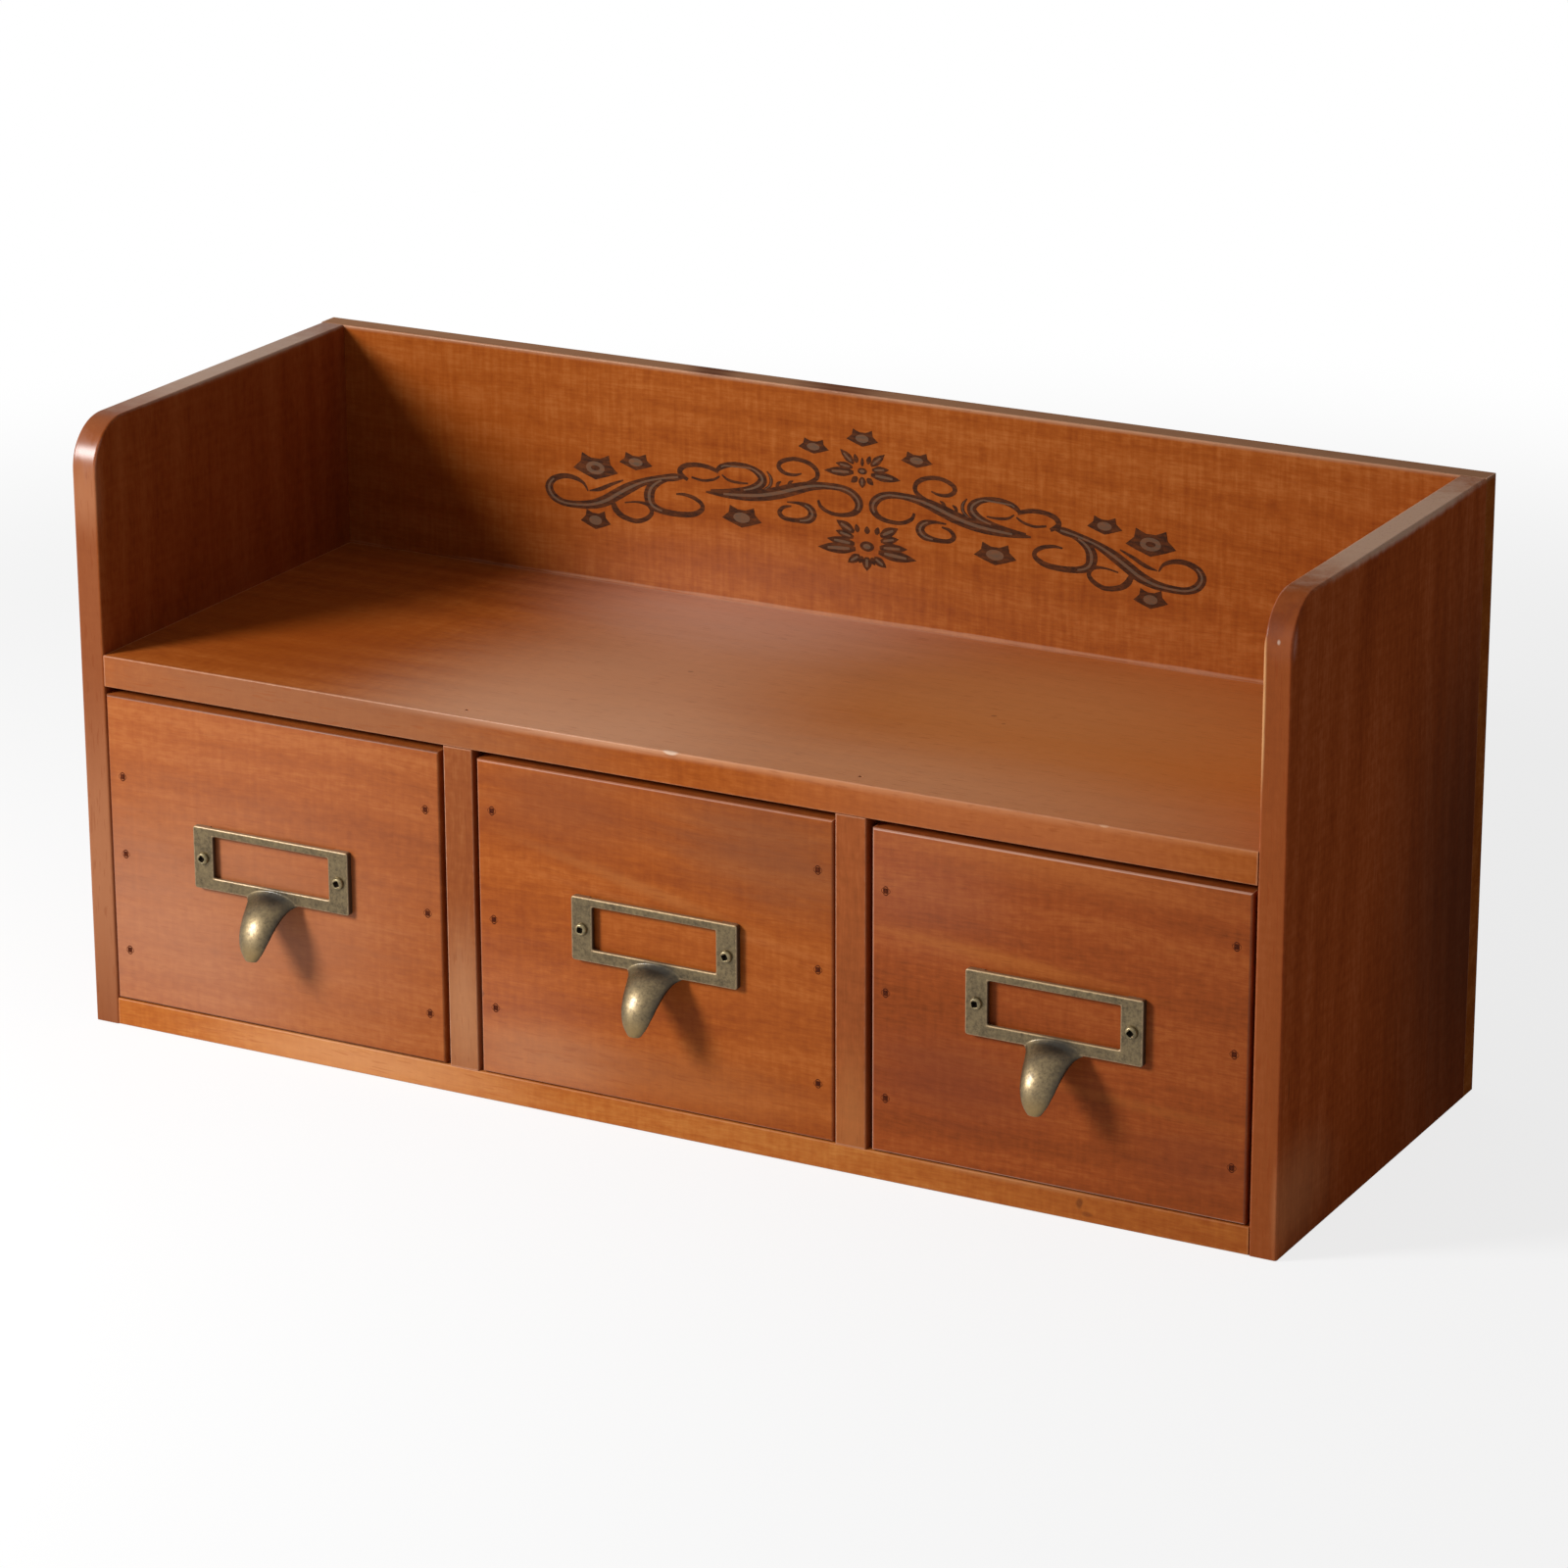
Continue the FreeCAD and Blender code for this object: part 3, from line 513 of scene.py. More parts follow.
drawerFronts = {
    # the left drawer's dark ease on its top edge is painted shade under the shelf
    "left": dict(front, seed=11.3, dark="#88431a", mid="#9d5221", light="#af6632", ease="#5e3420",
                 easeAmount=0.7, edgeAmount=0.1, edgeCoat=0.1, patches=(
        # painted sheen: a paler, pinkish lower left, where the lit floor is reflected
        patch("#b4805e", 0.4, (-30, -18), (100, 60), ragged=0.4),
    ), polish=(
        shine(1.0, (-62, -52), (105, 92), ragged=0.25, soft=0.7, face=-1),
        shine(0.5, (0, 0), (120, 120), ragged=0.2, face=-1),
    )),
    "middle": dict(front, seed=12.9, easeAmount=0.25, edgeAmount=0.3, edgeCoat=0.4, patches=(
        patch("#845034", 0.75, (38, 38), (52, 26), slope=-0.1, ragged=0.7),
        patch("#84482c", 0.65, (-34, 42), (48, 24), ragged=0.6),
        patch("#b5703a", 0.5, (-6, 20), (60, 3.5), slope=-0.2, ragged=0.9),
        patch("#b56c3c", 0.4, (10, 12), (66, 2.5), slope=-0.12, ragged=0.9),
        patch("#b3703f", 0.5, (4, -42), (72, 15), ragged=0.5),
        patch("#c2875a", 0.45, (-44, -44), (44, 18), ragged=0.4),
        patch("#5a2a18", 0.8, (-62.4, -25.9), (1.3, 1.5), ragged=0.8, soft=0.4, face=-1),
    ), polish=(
        shine(0.75, (-62, -45), (80, 60), face=-1),
    )),
    "right": dict(front, seed=14.2, dark="#7c3a16", mid="#9a4a1e", light="#b0602c", easeAmount=0.65,
                  edgeCoat=0.8, patches=(
        patch("#8a4628", 0.35, (-42, 30), (40, 20), ragged=0.6),
        patch("#b96c34", 0.4, (0, 50), (90, 12), ragged=0.6),
        patch("#b96d2e", 0.5, (-20, 18), (62, 4), slope=-0.08, ragged=0.9),
        patch("#b5682e", 0.4, (20, -20), (70, 3), slope=-0.06, ragged=0.9),
        patch("#7a3a24", 0.75, (-38, -24), (50, 24), slope=-0.05, ragged=0.6),
        patch("#7a3a22", 0.5, (44, -36), (30, 16), ragged=0.7),
    ), polish=(
        shine(0.4, (-55, 40), (60, 40), face=-1),
    )),
}


def patchMask(place, spot, thick):
    # thick is the board's half thickness
    centre = (spot["at"][0] * mm, spot["at"][1] * mm, spot["face"] * thick)
    size = tuple(value * mm for value in (*spot["size"], spot["deep"]))
    mask = useGroup(softPatch, Vector=place, Centre=centre, Size=size, Slope=spot["slope"],
                    Ragged=spot["ragged"], Soft=spot["soft"])["Mask"]
    return times(mask, spot["amount"])


def woodMaterial(name, look, low, high):
    material, surface, coords = newMaterial(name)
    where = coords["Object"]
    centre, half = (low + high) / 2, (high - low) / 2
    order = grainTurns[look["turn"]]
    thick = half["XYZ".index(order[2])]
    fromMiddle = split(vecCalc("SUBTRACT", where, centre))
    place = joinUp(*(fromMiddle[axis] for axis in order))
    grain = useGroup(woodGrain, Vector=place, Seed=look["seed"], Heart=look["heart"],
                     Lean=look["lean"], Ring_Spacing=look["spacing"])
    tone = 0.5
    for layer in ("rings", "clouds", "streaks", "lines", "fibre", "mottle", "figure"):
        swing = times(minus(grain[layer.capitalize()], 0.5), look[layer] * 2)
        tone = plus(swing, tone)
    color = colorRamp(tone, look, *look["ramp"])
    facing = split(coords["Normal"])
    broad = calc("ABSOLUTE", facing[order[2]])
    # painted light: 1 on faces not turned right, down to a share on faces turned right, away from the lamp;
    # it cuts the rim, ease and edge tints and the gloss there
    wearAndLitSide = span(facing["X"], 0.1, 0.35, 1.0, look["shadedEdgeShare"])
    # partly painted sheen: the rim colour tints the front and top faces, greyer where light from above falls;
    # partly the end grain's own tone
    if look["rimAmount"]:
        rim = fade(broad, 0.9, 0.5, 0.0, look["rimAmount"])
        color = mixColor(times(rim, wearAndLitSide), color, look["rim"])
    for spot in look["patches"]:
        tint = mixColor(look["cover"], color, spot["color"])
        color = mixColor(patchMask(place, spot, thick), color, tint)
    # the eased edges are where the normal turns away from the broad face
    eased = times(fade(broad, 0.99, 0.9), fade(broad, 0.1, 0.3))
    eased = times(eased, wearAndLitSide)
    # painted highlight: a pale ease colour stands for the lamp's gleam on the eased edges; a dark one is
    # painted shade
    if look["easeAmount"]:
        color = mixColor(times(eased, look["easeAmount"]), color, look["ease"])
    color = mixColor(times(grain["Pores"], look["pores"]), color, look["dark"])
    if "corner" in look:
        edge = useGroup(panelEdge, Vector=where, Middle=centre.x, Half=half.x, Corner=look["corner"],
                        Width=look["edgeWidth"])
    else:
        edge = useGroup(boardEdges, Vector=where, Centre=centre, Half=half, Width=look["edgeWidth"])
    # the edge tint is partly wear, partly painted highlight, kept on the lamp side only
    edge = times(edge["Mask"], wearAndLitSide)
    color = mixColor(times(edge, look["edgeAmount"]), color, look["edge"])
    coat = 0.0
    if look["edgeCoat"]:
        coat = times(calc("MAXIMUM", edge, eased), look["edgeCoat"])
        for spot in look["polish"]:
            coat = calc("MAXIMUM", coat, patchMask(place, spot, thick))
    rough = span(grain["Streaks"], 0.3, 0.7, look["rough"] + 0.05, look["rough"] - 0.05)
    fill(surface, Base_Color=color, Roughness=rough, Specular_IOR_Level=look["specular"],
         Coat_Weight=coat, Coat_Roughness=look["coatRough"])
    height = plus(times(grain["Lines"], 0.6), times(grain["Pores"], -0.8))
    bumpFrom(surface, height, look["bump"], 0.2 * mm)
    return material


def dress(node, material):
    nodes[node].data.materials.clear()
    nodes[node].data.materials.append(material)


def dressBoard(node, look, **more):
    low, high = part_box(node)
    look = dict(look, **more)
    if node.endswith("side_panel"):
        look["corner"] = (0, low.y + cornerRadius, high.z - cornerRadius)
    dress(node, woodMaterial(node, look, low, high))


def dressWood():
    for node, look in caseBoards.items():
        dressBoard(node, look)
    walls = {"left_side": "y_on_side", "right_side": "y_on_side", "back": "x_on_front"}
    for drawer, look in drawerFronts.items():
        body = drawer + "_drawer_"
        dressBoard(body + "front", look)
        for number, (wall, turn) in enumerate(walls.items()):
            dressBoard(body + wall, bareWood, turn=turn, seed=look["seed"] * 3 + number)
        dressBoard(body + "bottom", plywood, turn="x_on_top", seed=look["seed"] * 5)


dressWood()
print("wood ready")


# building closed meshes

def loft(bm, rings, around=False):
    # skins rings of equal length; around joins the last ring to the first, else both ends are capped
    made = [[bm.verts.new(point) for point in ring] for ring in rings]
    pairs = list(zip(made, made[1:])) + ([(made[-1], made[0])] if around else [])
    for one, two in pairs:
        for i in range(len(one)):
            j = (i + 1) % len(one)
            bm.faces.new((one[i], one[j], two[j], two[i]))
    if not around:
        bm.faces.new(made[0])
        bm.faces.new(made[-1][::-1])


def newPiece(name, bm, *materials, smooth=False):
    bmesh.ops.recalc_face_normals(bm, faces=bm.faces)
    for face in bm.faces:
        face.smooth = smooth
    mesh = bpy.data.meshes.new(name)
    bm.to_mesh(mesh)
    bm.free()
    for material in materials:
        mesh.materials.append(material)
    return newObject(name, mesh)


# brads and dowels

def plainMetal(name, base, worn, rough):
    material, surface, coords = newMaterial(name)
    spots = stretchedNoise(coords["Object"], 900, 3.0, 0.6)
    fill(surface, Base_Color=mixColor(span(spots, 0.4, 0.65), base, worn),
         Roughness=span(spots, 0.3, 0.7, rough - 0.1, rough + 0.15), Metallic=0.6)
    bumpFrom(surface, spots, 0.3, 0.05 * mm)
    return material


nail = {
    # the middle colour: the dish's dark middle, partly bare steel, partly painted shade
    "base": "#471b0c", "middle": "#1c0904", "stain": "#612a13", "rough": 0.6, "dish": 0.14, "around": 20,
    # radius and depth below the board's face, mm: a dished head, then the shank
    "profile": ((0.05, 0.2), (0.35, 0.17), (0.6, 0.06), (0.8, -0.03), (0.88, -0.02), (0.9, 0.02), (0.6, 0.1),
                (0.42, 0.3), (0.42, 18.0), (0.05, 19.3)),
}


def nailMaterial():
    # stained over; darker down in the dish, partly the bare steel, partly painted shade
    material, surface, coords = newMaterial("nailHead")
    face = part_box("left_drawer_front")[0].y
    spots = stretchedNoise(coords["Object"], 1100)
    depth = fade(split(coords["Object"])["Y"], face, face + nail["dish"] * mm)
    color = mixColor(span(spots, 0.4, 0.65), nail["base"], nail["stain"])
    fill(surface, Base_Color=mixColor(depth, color, nail["middle"]), Specular_IOR_Level=0.06,
         Roughness=span(spots, 0.3, 0.7, nail["rough"] - 0.1, nail["rough"] + 0.1))
    return material


def bradPlaces(node):
    # the middle of each brad's front end: every brad is one island of the node's mesh
    bm = bmesh.new()
    bm.from_mesh(nodes[node].data)
    left = set(bm.verts)
    places = []
    while left:
        island, waiting = [], [left.pop()]
        while waiting:
            vert = waiting.pop()
            island.append(vert.co.copy())
            for edge in vert.link_edges:
                other = edge.other_vert(vert)
                if other in left:
                    left.remove(other)
                    waiting.append(other)
        xs, zs = [point.x for point in island], [point.z for point in island]
        places.append(((min(xs) + max(xs)) / 2, (min(zs) + max(zs)) / 2))
    bm.free()
    return sorted(places)


def addNails():
    material = nailMaterial()
    turns = [2 * math.pi * i / nail["around"] for i in range(nail["around"])]
    for drawer in drawers:
        body = drawer + "_drawer"
        node = body + "_front_brads"
        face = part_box(body + "_front")[0].y
        bm = bmesh.new()
        for x, z in bradPlaces(node):
            loft(bm, [[(x + radius * mm * math.cos(a), face + deep * mm, z + radius * mm * math.sin(a))
                       for a in turns] for radius, deep in nail["profile"]])
        piece = newPiece(drawer + "_front_nails", bm, material, smooth=True)
        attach(piece, body)
        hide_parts(node)


def dressSmallParts():
    darkSteel = plainMetal("darkSteel", "#2c150b", "#4a2413", 0.55)
    beech = dict(bareWood, turn="x_on_front", seed=21.0, dark="#b0895a", mid="#c9a475", light="#dcbd92")
    for node in nodes:
        if node.endswith("brads"):
            dress(node, darkSteel)
        elif node.endswith("dowels"):
            dressBoard(node, beech)


dressSmallParts()
addNails()
print("brads ready")


# label pulls: a cast frame with a horn-shaped finger tab, and the two screws that hold it

pull = {
    "window": (43.5, 14.0), "sideBar": 7.5, "topBar": 2.8, "bottomBar": 4.2, "thick": 2.2,
    "corner": 0.9, "ease": 0.42, "windowCorner": 0.5,
    "card": (0.8, 1.6),                     # the label slot behind the frame: depth and margin
    "reach": 15.9, "crownAbove": 2.4, "drop": 16.0, "rimReach": 14.6, "wall": 1.5,
    # the tab's half width by its turn in degrees, from the plate to the tip
    "halfWidths": {0: 11.6, 7: 9.6, 14: 8.3, 22: 7.6, 30: 7.1, 45: 6.4, 60: 5.6, 75: 4.4, 84: 3.2,
                   90: 2.1},
    "fillet": (1.3, 0.9),                   # how far the tab's top rises at the plate, and its falloff
    "hollow": (8, 76),                      # where the tab is hollow below: start and extent, degrees
    "rimCurve": 0.75, "hollowCurve": 0.4,   # powers that shape the tab's low rim and its hollow
    "voxel": 0.2, "soften": (0.5, 4),       # the casting's skin: cell size, smoothing factor and rounds
}


def roundedRectangle(wide, tall, radius, steps=6):
    points = []
    for number, (sx, sz) in enumerate(((1, 1), (-1, 1), (-1, -1), (1, -1))):
        for step in range(steps + 1):
            turn = math.radians(90 * (number + step / steps))
            points.append((sx * (wide / 2 - radius) + radius * math.cos(turn),
                           sz * (tall / 2 - radius) + radius * math.sin(turn)))
    return points


def applyModifiers(piece):
    graph = bpy.context.evaluated_depsgraph_get()
    done = bpy.data.meshes.new_from_object(piece.evaluated_get(graph))
    piece.modifiers.clear()
    old = piece.data
    piece.data = done
    bpy.data.meshes.remove(old)


def pullFrame():
    # millimetres: x across, y forward is negative, z up from the plate's low edge
    winWide, winTall = pull["window"]
    wide = winWide + 2 * pull["sideBar"]
    tall = winTall + pull["topBar"] + pull["bottomBar"]
    ease, thick = pull["ease"], pull["thick"]
    winUp = pull["bottomBar"] + winTall / 2
    rings = []

    def ring(w, t, radius, y, up):
        rings.append([(x, y, z + up) for x, z in roundedRectangle(w, t, radius)])

    def easedRings(steps, w, t, sign, radius, up):
        # sign is -1 for an outer edge, which draws in toward the front, and 1 for an inner one
        for step in steps:
            turn = math.radians(22.5 * step)
            back = sign * 2 * ease * (1 - math.cos(turn))
            ring(w + back, t + back, radius, -thick + ease * (1 - math.sin(turn)), up)

    ring(wide, tall, pull["corner"], 0, tall / 2)
    easedRings(range(5), wide, tall, -1, pull["corner"], tall / 2)
    easedRings(range(4, -1, -1), winWide, winTall, 1, pull["windowCorner"], winUp)
    ring(winWide, winTall, pull["windowCorner"], 0, winUp)
    bm = bmesh.new()
    loft(bm, rings, around=True)
    return newPiece("pullFrame", bm)


def between(table, value):
    # smooth reading of a table of values by turn
    keys = sorted(table)
    last = len(keys) - 1
    i = max(sum(key < value for key in keys) - 1, 0)
    before, a, b, after = (keys[min(max(i + k, 0), last)] for k in (-1, 0, 1, 2))
    t = (value - a) / (b - a)
    slopeA = (table[b] - table[before]) / (b - before) * (b - a)
    slopeB = (table[after] - table[a]) / (after - a) * (b - a)
    return ((2 * t ** 3 - 3 * t ** 2 + 1) * table[a] + (t ** 3 - 2 * t ** 2 + t) * slopeA
            + (3 * t ** 2 - 2 * t ** 3) * table[b] + (t ** 3 - t ** 2) * slopeB)


def pullTab():
    bm = bmesh.new()
    rings = []
    rise, falloff = pull["fillet"]
    start, extent = pull["hollow"]
    wall = pull["wall"]
    steps, archSteps = 60, 24
    arch = [math.radians(180 * i / archSteps) for i in range(archSteps + 1)]
    for step in range(steps + 1):
        turn = 90 / steps * step
        c, s = math.cos(math.radians(turn)), math.sin(math.radians(turn))
        ahead = max(pull["reach"] * s - pull["thick"], 0)
        top = pull["crownAbove"] + rise * math.exp(-ahead / falloff)
        crown = Vector((0, -pull["reach"] * s, top - (pull["drop"] + pull["crownAbove"]) * (1 - c)))
        rim = Vector((0, -pull["rimReach"] * s, -pull["drop"] * (1 - c) ** pull["rimCurve"]))
        half = between(pull["halfWidths"], turn)
        tall = crown - rim
        share = min(max((turn - start) / extent, 0), 1)
        hollow = max(0.0, math.sin(math.pi * share)) ** pull["hollowCurve"]
        deep = max(tall.length - wall, 0.05) * hollow + 0.02
        outer = [rim + tall * math.sin(a) + Vector((half * math.cos(a), 0, 0)) for a in arch]
        inner = [rim + tall.normalized() * deep * math.sin(a) + Vector(((half - wall) * math.cos(a), 0, 0))
                 for a in reversed(arch)]
        rings.append(outer + inner)
    loft(bm, rings)
    return newPiece("pullTab", bm)


def cutBlock(low, high):
    bm = bmesh.new()
    corners = [(low[0], low[2]), (high[0], low[2]), (high[0], high[2]), (low[0], high[2])]
    loft(bm, [[(x, y, z) for x, z in corners] for y in (low[1], high[1])])
    return newPiece("cutter", bm)


def castPull():
    whole = pullFrame()
    tab = pullTab()
    deep, margin = pull["card"]
    winWide, winTall = pull["window"]
    slot = cutBlock((-winWide / 2 - margin, -deep, pull["bottomBar"] - margin / 2),
                    (winWide / 2 + margin, 1.0, pull["bottomBar"] + winTall + pull["topBar"] + 1))
    for tool, operation in ((slot, "DIFFERENCE"), (tab, "UNION")):
        cut = whole.modifiers.new("shape", "BOOLEAN")
        cut.object, cut.operation, cut.solver = tool, operation, "EXACT"
    skin = whole.modifiers.new("skin", "REMESH")
    skin.mode, skin.voxel_size, skin.use_smooth_shade = "VOXEL", pull["voxel"], True
    soften = whole.modifiers.new("soften", "SMOOTH")
    soften.factor, soften.iterations = pull["soften"]
    applyModifiers(whole)
    for tool in (slot, tab):
        bpy.data.objects.remove(tool)
    whole.data.transform(Matrix.Scale(mm, 4))
    return whole


brass = {
    "dark": "#423724", "mid": "#6c5c41", "light": "#847250", "worn": "#a38866", "deep": "#1f1a13",
    "patina": "#24221e", "tip": "#8f7446", "rough": 0.37, "speckle": 800,
    "wearWidth": 0.75 * mm, "wearAmount": 0.7, "rightSideShade": 0.8, "deepAmount": 0.85,
    "ramp": (0.28, 0.7), "rubbedFrom": (0.54, 0.62), "hollowFrom": (0.49, 0.42),
    "tipFrom": (-9 * mm, -15 * mm), "tipAmount": 0.7, "patinaAmount": 0.9,
    "metallic": 0.85, "coat": 0.3, "coatRough": 0.2, "bump": 0.25,
    # where the patina sits, mm off the plate's low edge
    "root": (1.8, -1.2, 1.6), "rootSize": (10.5, 6.0, 4.8),
}


def makePlateWear():
    # mask along the plate's outer edge and round its window, from the middle of the plate's low edge
    group, given, out = newGroup(
        "plateWear", {"Half": (29, 0, 10.5), "Window": (22, 0, 7), "Window Up": 11.0, "Width": 1.0})
    x, y, z = split(given["Vector"])
    aside = calc("ABSOLUTE", x)

    def outside(half, middle):
        # distance outward from a rectangle's outline, negative inside
        wide, deep, tall = split(half)
        up = calc("ABSOLUTE", minus(z, middle))
        return calc("MAXIMUM", minus(aside, wide), minus(up, tall))

    border = outside(given["Half"], split(given["Half"])["Z"])
    frame = outside(given["Window"], given["Window Up"])
    rough = stretchedNoise(given["Vector"], 900, rough=0.6)
    width = times(given["Width"], span(rough, 0.3, 0.7, 0.6, 1.2))
    rim = fade(calc("DIVIDE", border, width), -1.0, -0.45)
    rim = times(rim, span(border, 0.3 * mm, 0.1 * mm))
    inner = fade(calc("DIVIDE", frame, width), 0.9, 0.4)
    onPlate = span(y, -0.35 * mm, -0.2 * mm)
    wire(times(calc("MAXIMUM", rim, inner), onPlate), out["Mask"])
    return group


plateWear = makePlateWear()


def brassMaterial(name, look, low=None):
    # low is the middle of the plate's low front edge, for a pull
    material, surface, coords = newMaterial(name)
    where = coords["Object"]
    curve = put(material.node_tree, "NewGeometry").outputs["Pointiness"]
    clouds = stretchedNoise(where, 160, 3.0, 0.6)
    speckle = stretchedNoise(where, look["speckle"], 3.0, 0.7)
    color = colorRamp(plus(times(speckle, 0.7), times(clouds, 0.3)), look, *look["ramp"])
    wearAndLitSide = fade(plus(curve, times(speckle, 0.02)), *look["rubbedFrom"])
    hollow = fade(curve, *look["hollowFrom"])
    color = mixColor(times(hollow, look["deepAmount"]), color, look["deep"])
    roughness = span(speckle, 0.3, 0.7, look["rough"] + 0.12, look["rough"] - 0.04)
    if low:
        place = vecCalc("SUBTRACT", where, low)
        tip = fade(split(place)["Z"], *look["tipFrom"], 0.0, look["tipAmount"])
        color = mixColor(tip, color, look["tip"])
        winWide, winTall = (size * mm / 2 for size in pull["window"])
        plateWide, up = winWide + pull["sideBar"] * mm, pull["bottomBar"] * mm + winTall
        plateTall = up + (pull["topBar"] + pull["window"][1] / 2) * mm
        wear = useGroup(plateWear, Vector=place, Half=(plateWide, 0, plateTall / 2),
                        Window=(winWide, 0, winTall), Width=look["wearWidth"], Window_Up=up)["Mask"]
        wearAndLitSide = calc("MAXIMUM", wearAndLitSide, wear)
    color = mixColor(times(wearAndLitSide, look["wearAmount"]), color, look["worn"])
    roughness = plus(roughness, times(wearAndLitSide, 0.15))
    if low:
        root, size = (tuple(value * mm for value in look[key]) for key in ("root", "rootSize"))
        patina = useGroup(softPatch, Vector=place, Centre=root, Size=size, Ragged=0.5, Soft=0.8)["Mask"]
        color = mixColor(times(patina, look["patinaAmount"]), color, look["patina"])
        # painted shade: the side walls turned right, away from the lamp, darkened to the deep colour
        aside = span(split(coords["Normal"])["X"], 0.2, 0.8, 0.0, look["rightSideShade"])
        color = mixColor(aside, color, look["deep"])
        roughness = plus(roughness, times(patina, 0.25))
    fill(surface, Base_Color=color, Roughness=roughness, Metallic=look["metallic"],
         Coat_Weight=look["coat"], Coat_Roughness=look["coatRough"])
    bumpFrom(surface, speckle, look["bump"], 0.06 * mm)
    return material


# the recess: its radius, the arms' extra reach and its depth, mm
screw = {"recess": (0.98, 0.2, 1.0), "crossTurn": {"left": (12, 70), "middle": (35, -20), "right": (55, 5)},
         # the recess colours are painted shade, from this share of its depth down
         "recessShade": ("#18120c", "#1d160e"), "recessShadeFrom": 0.3, "shank": 1.05, "point": 1.2,
         "brim": 0.12}          # the head's upright rim, as a share of its height


def screwHead(bm, centre, plateFace, radius, tall, turn, long):
    # one closed lathe: domed head with a cross recess, then a plain shank
    around, rows = 48, 10
    rings = []
    hole, arm, deep = (value * mm for value in screw["recess"])
    top = plateFace - tall

    def ring(y, size, cross=0.0):
        # cross is how much of the recess's outline comes on top of the size
        points = []
        for i in range(around):
            a = 2 * math.pi * i / around
            r = size + cross * (hole + arm * abs(math.cos(2 * (a - math.radians(turn)))) ** 4)
            points.append((centre.x + r * math.cos(a), y, centre.z + r * math.sin(a)))
        rings.append(points)

    ring(top + deep, 0.02 * mm)
    ring(top + deep, 0, 0.75)
    ring(top + 0.05 * mm, 0, 1)
    ring(top, 0.12 * mm, 1)
    flat, brim = hole + arm + 0.15 * mm, screw["brim"]
    for row in range(rows):
        t = math.radians(90 * row / (rows - 1))
        ring(plateFace - tall * (brim + (1 - brim) * math.cos(t)), flat + (radius - flat) * math.sin(t))
    ring(plateFace + 0.02 * mm, radius)
    shank = screw["shank"] * mm
    ring(plateFace + 0.04 * mm, shank)
    ring(plateFace + long - screw["point"] * mm, shank)
    ring(plateFace + long, 0.1 * mm)
    loft(bm, rings)


def recessMaterial():
    # painted shade: the screw's recess coloured near black
    material, surface, coords = newMaterial("paintedRecessShade")
    grit = stretchedNoise(coords["Object"], 1500)
    fill(surface, Base_Color=mixColor(grit, *screw["recessShade"]),
         Roughness=span(grit, 0.3, 0.7, 0.75, 0.9), Specular_IOR_Level=0.05)
    return material


def addPulls():
    screwLook = brassMaterial("brassScrews", dict(brass, dark="#4c4330", mid="#7b6d4d", light="#978765"))
    recessShade = recessMaterial()
    cast = castPull()
    for drawer in drawers:
        body = drawer + "_drawer"
        node = body + "_label_pull"
        low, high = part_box(node)
        piece = newObject(drawer + "_cast_pull", cast.data.copy())
        tall = (pull["window"][1] + pull["topBar"] + pull["bottomBar"]) * mm
        middle = (low.x + high.x) / 2
        piece.data.transform(Matrix.Translation((middle, high.y, high.z - tall)))
        lowEdge = (middle, high.y - pull["thick"] * mm, high.z - tall)
        piece.data.materials.append(brassMaterial(drawer + "PullBrass", brass, lowEdge))
        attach(piece, body)
        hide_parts(node)
        addScrews(drawer, body, (screwLook, recessShade), (low, high))
    bpy.data.objects.remove(cast)


def addScrews(drawer, body, materials, pullBox):
    node = body + "_pull_screws"
    low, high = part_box(node)
    plateFace = pullBox[1].y - pull["thick"] * mm
    radius = (high.z - low.z) / 2
    bm = bmesh.new()
    for x, turn in zip((low.x + radius, high.x - radius), screw["crossTurn"][drawer]):
        screwHead(bm, Vector((x, 0, (low.z + high.z) / 2)), plateFace, radius, plateFace - low.y, turn,
                  high.y - plateFace)
    piece = newPiece(drawer + "_pull_screw_heads", bm, *materials, smooth=True)
    # faces deeper in the recess than this get the painted shade
    crown = low.y + screw["recess"][2] * mm * screw["recessShadeFrom"]
    for face in piece.data.polygons:
        aside = min(abs(face.center.x - x) for x in (low.x + radius, high.x - radius))
        beside = math.hypot(aside, face.center.z - (low.z + high.z) / 2)
        inside = beside < sum(screw["recess"][:2]) * mm and crown < face.center.y < plateFace
        face.material_index = 1 if inside else 0
    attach(piece, body)
    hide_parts(node)


addPulls()
print("pulls ready")


# scroll ornament on the back panel: drawn for the left half and mirrored

ornament = {
    "axis": -2.6, "tilt": 0.005,            # mm, and rise along x
    "thick": 0.05, "proud": 0.03, "step": 0.0012,
    "ink": "#2e1d16", "core": "#5c4c3e", "coreShare": 0.27, "thicken": 1.45,
    "coreLevel": 60, "dotLevel": 75,        # how far the pale cores and the dots on them stand up
    "coreFrom": 0.55,                       # a scroll has its core where it's this much of its full width
    "coredStroke": 2.2,                     # rosette strokes wider than this have a core
    "strokeCore": (4, 18, 0.3),             # from and to along a stroke's points, and the share of its width
    "ringCore": (1.1, 1.0), "inkWood": "#7a4220", "coreWood": "#8a5330",
    # width, height and drop of the pale middles, as shares of the flower's size, and the dot's size
    "starCore": (0.42, 0.48, 0.03), "flowerCore": (0.42, 0.5, 0.04), "flowerDot": 0.2,
}

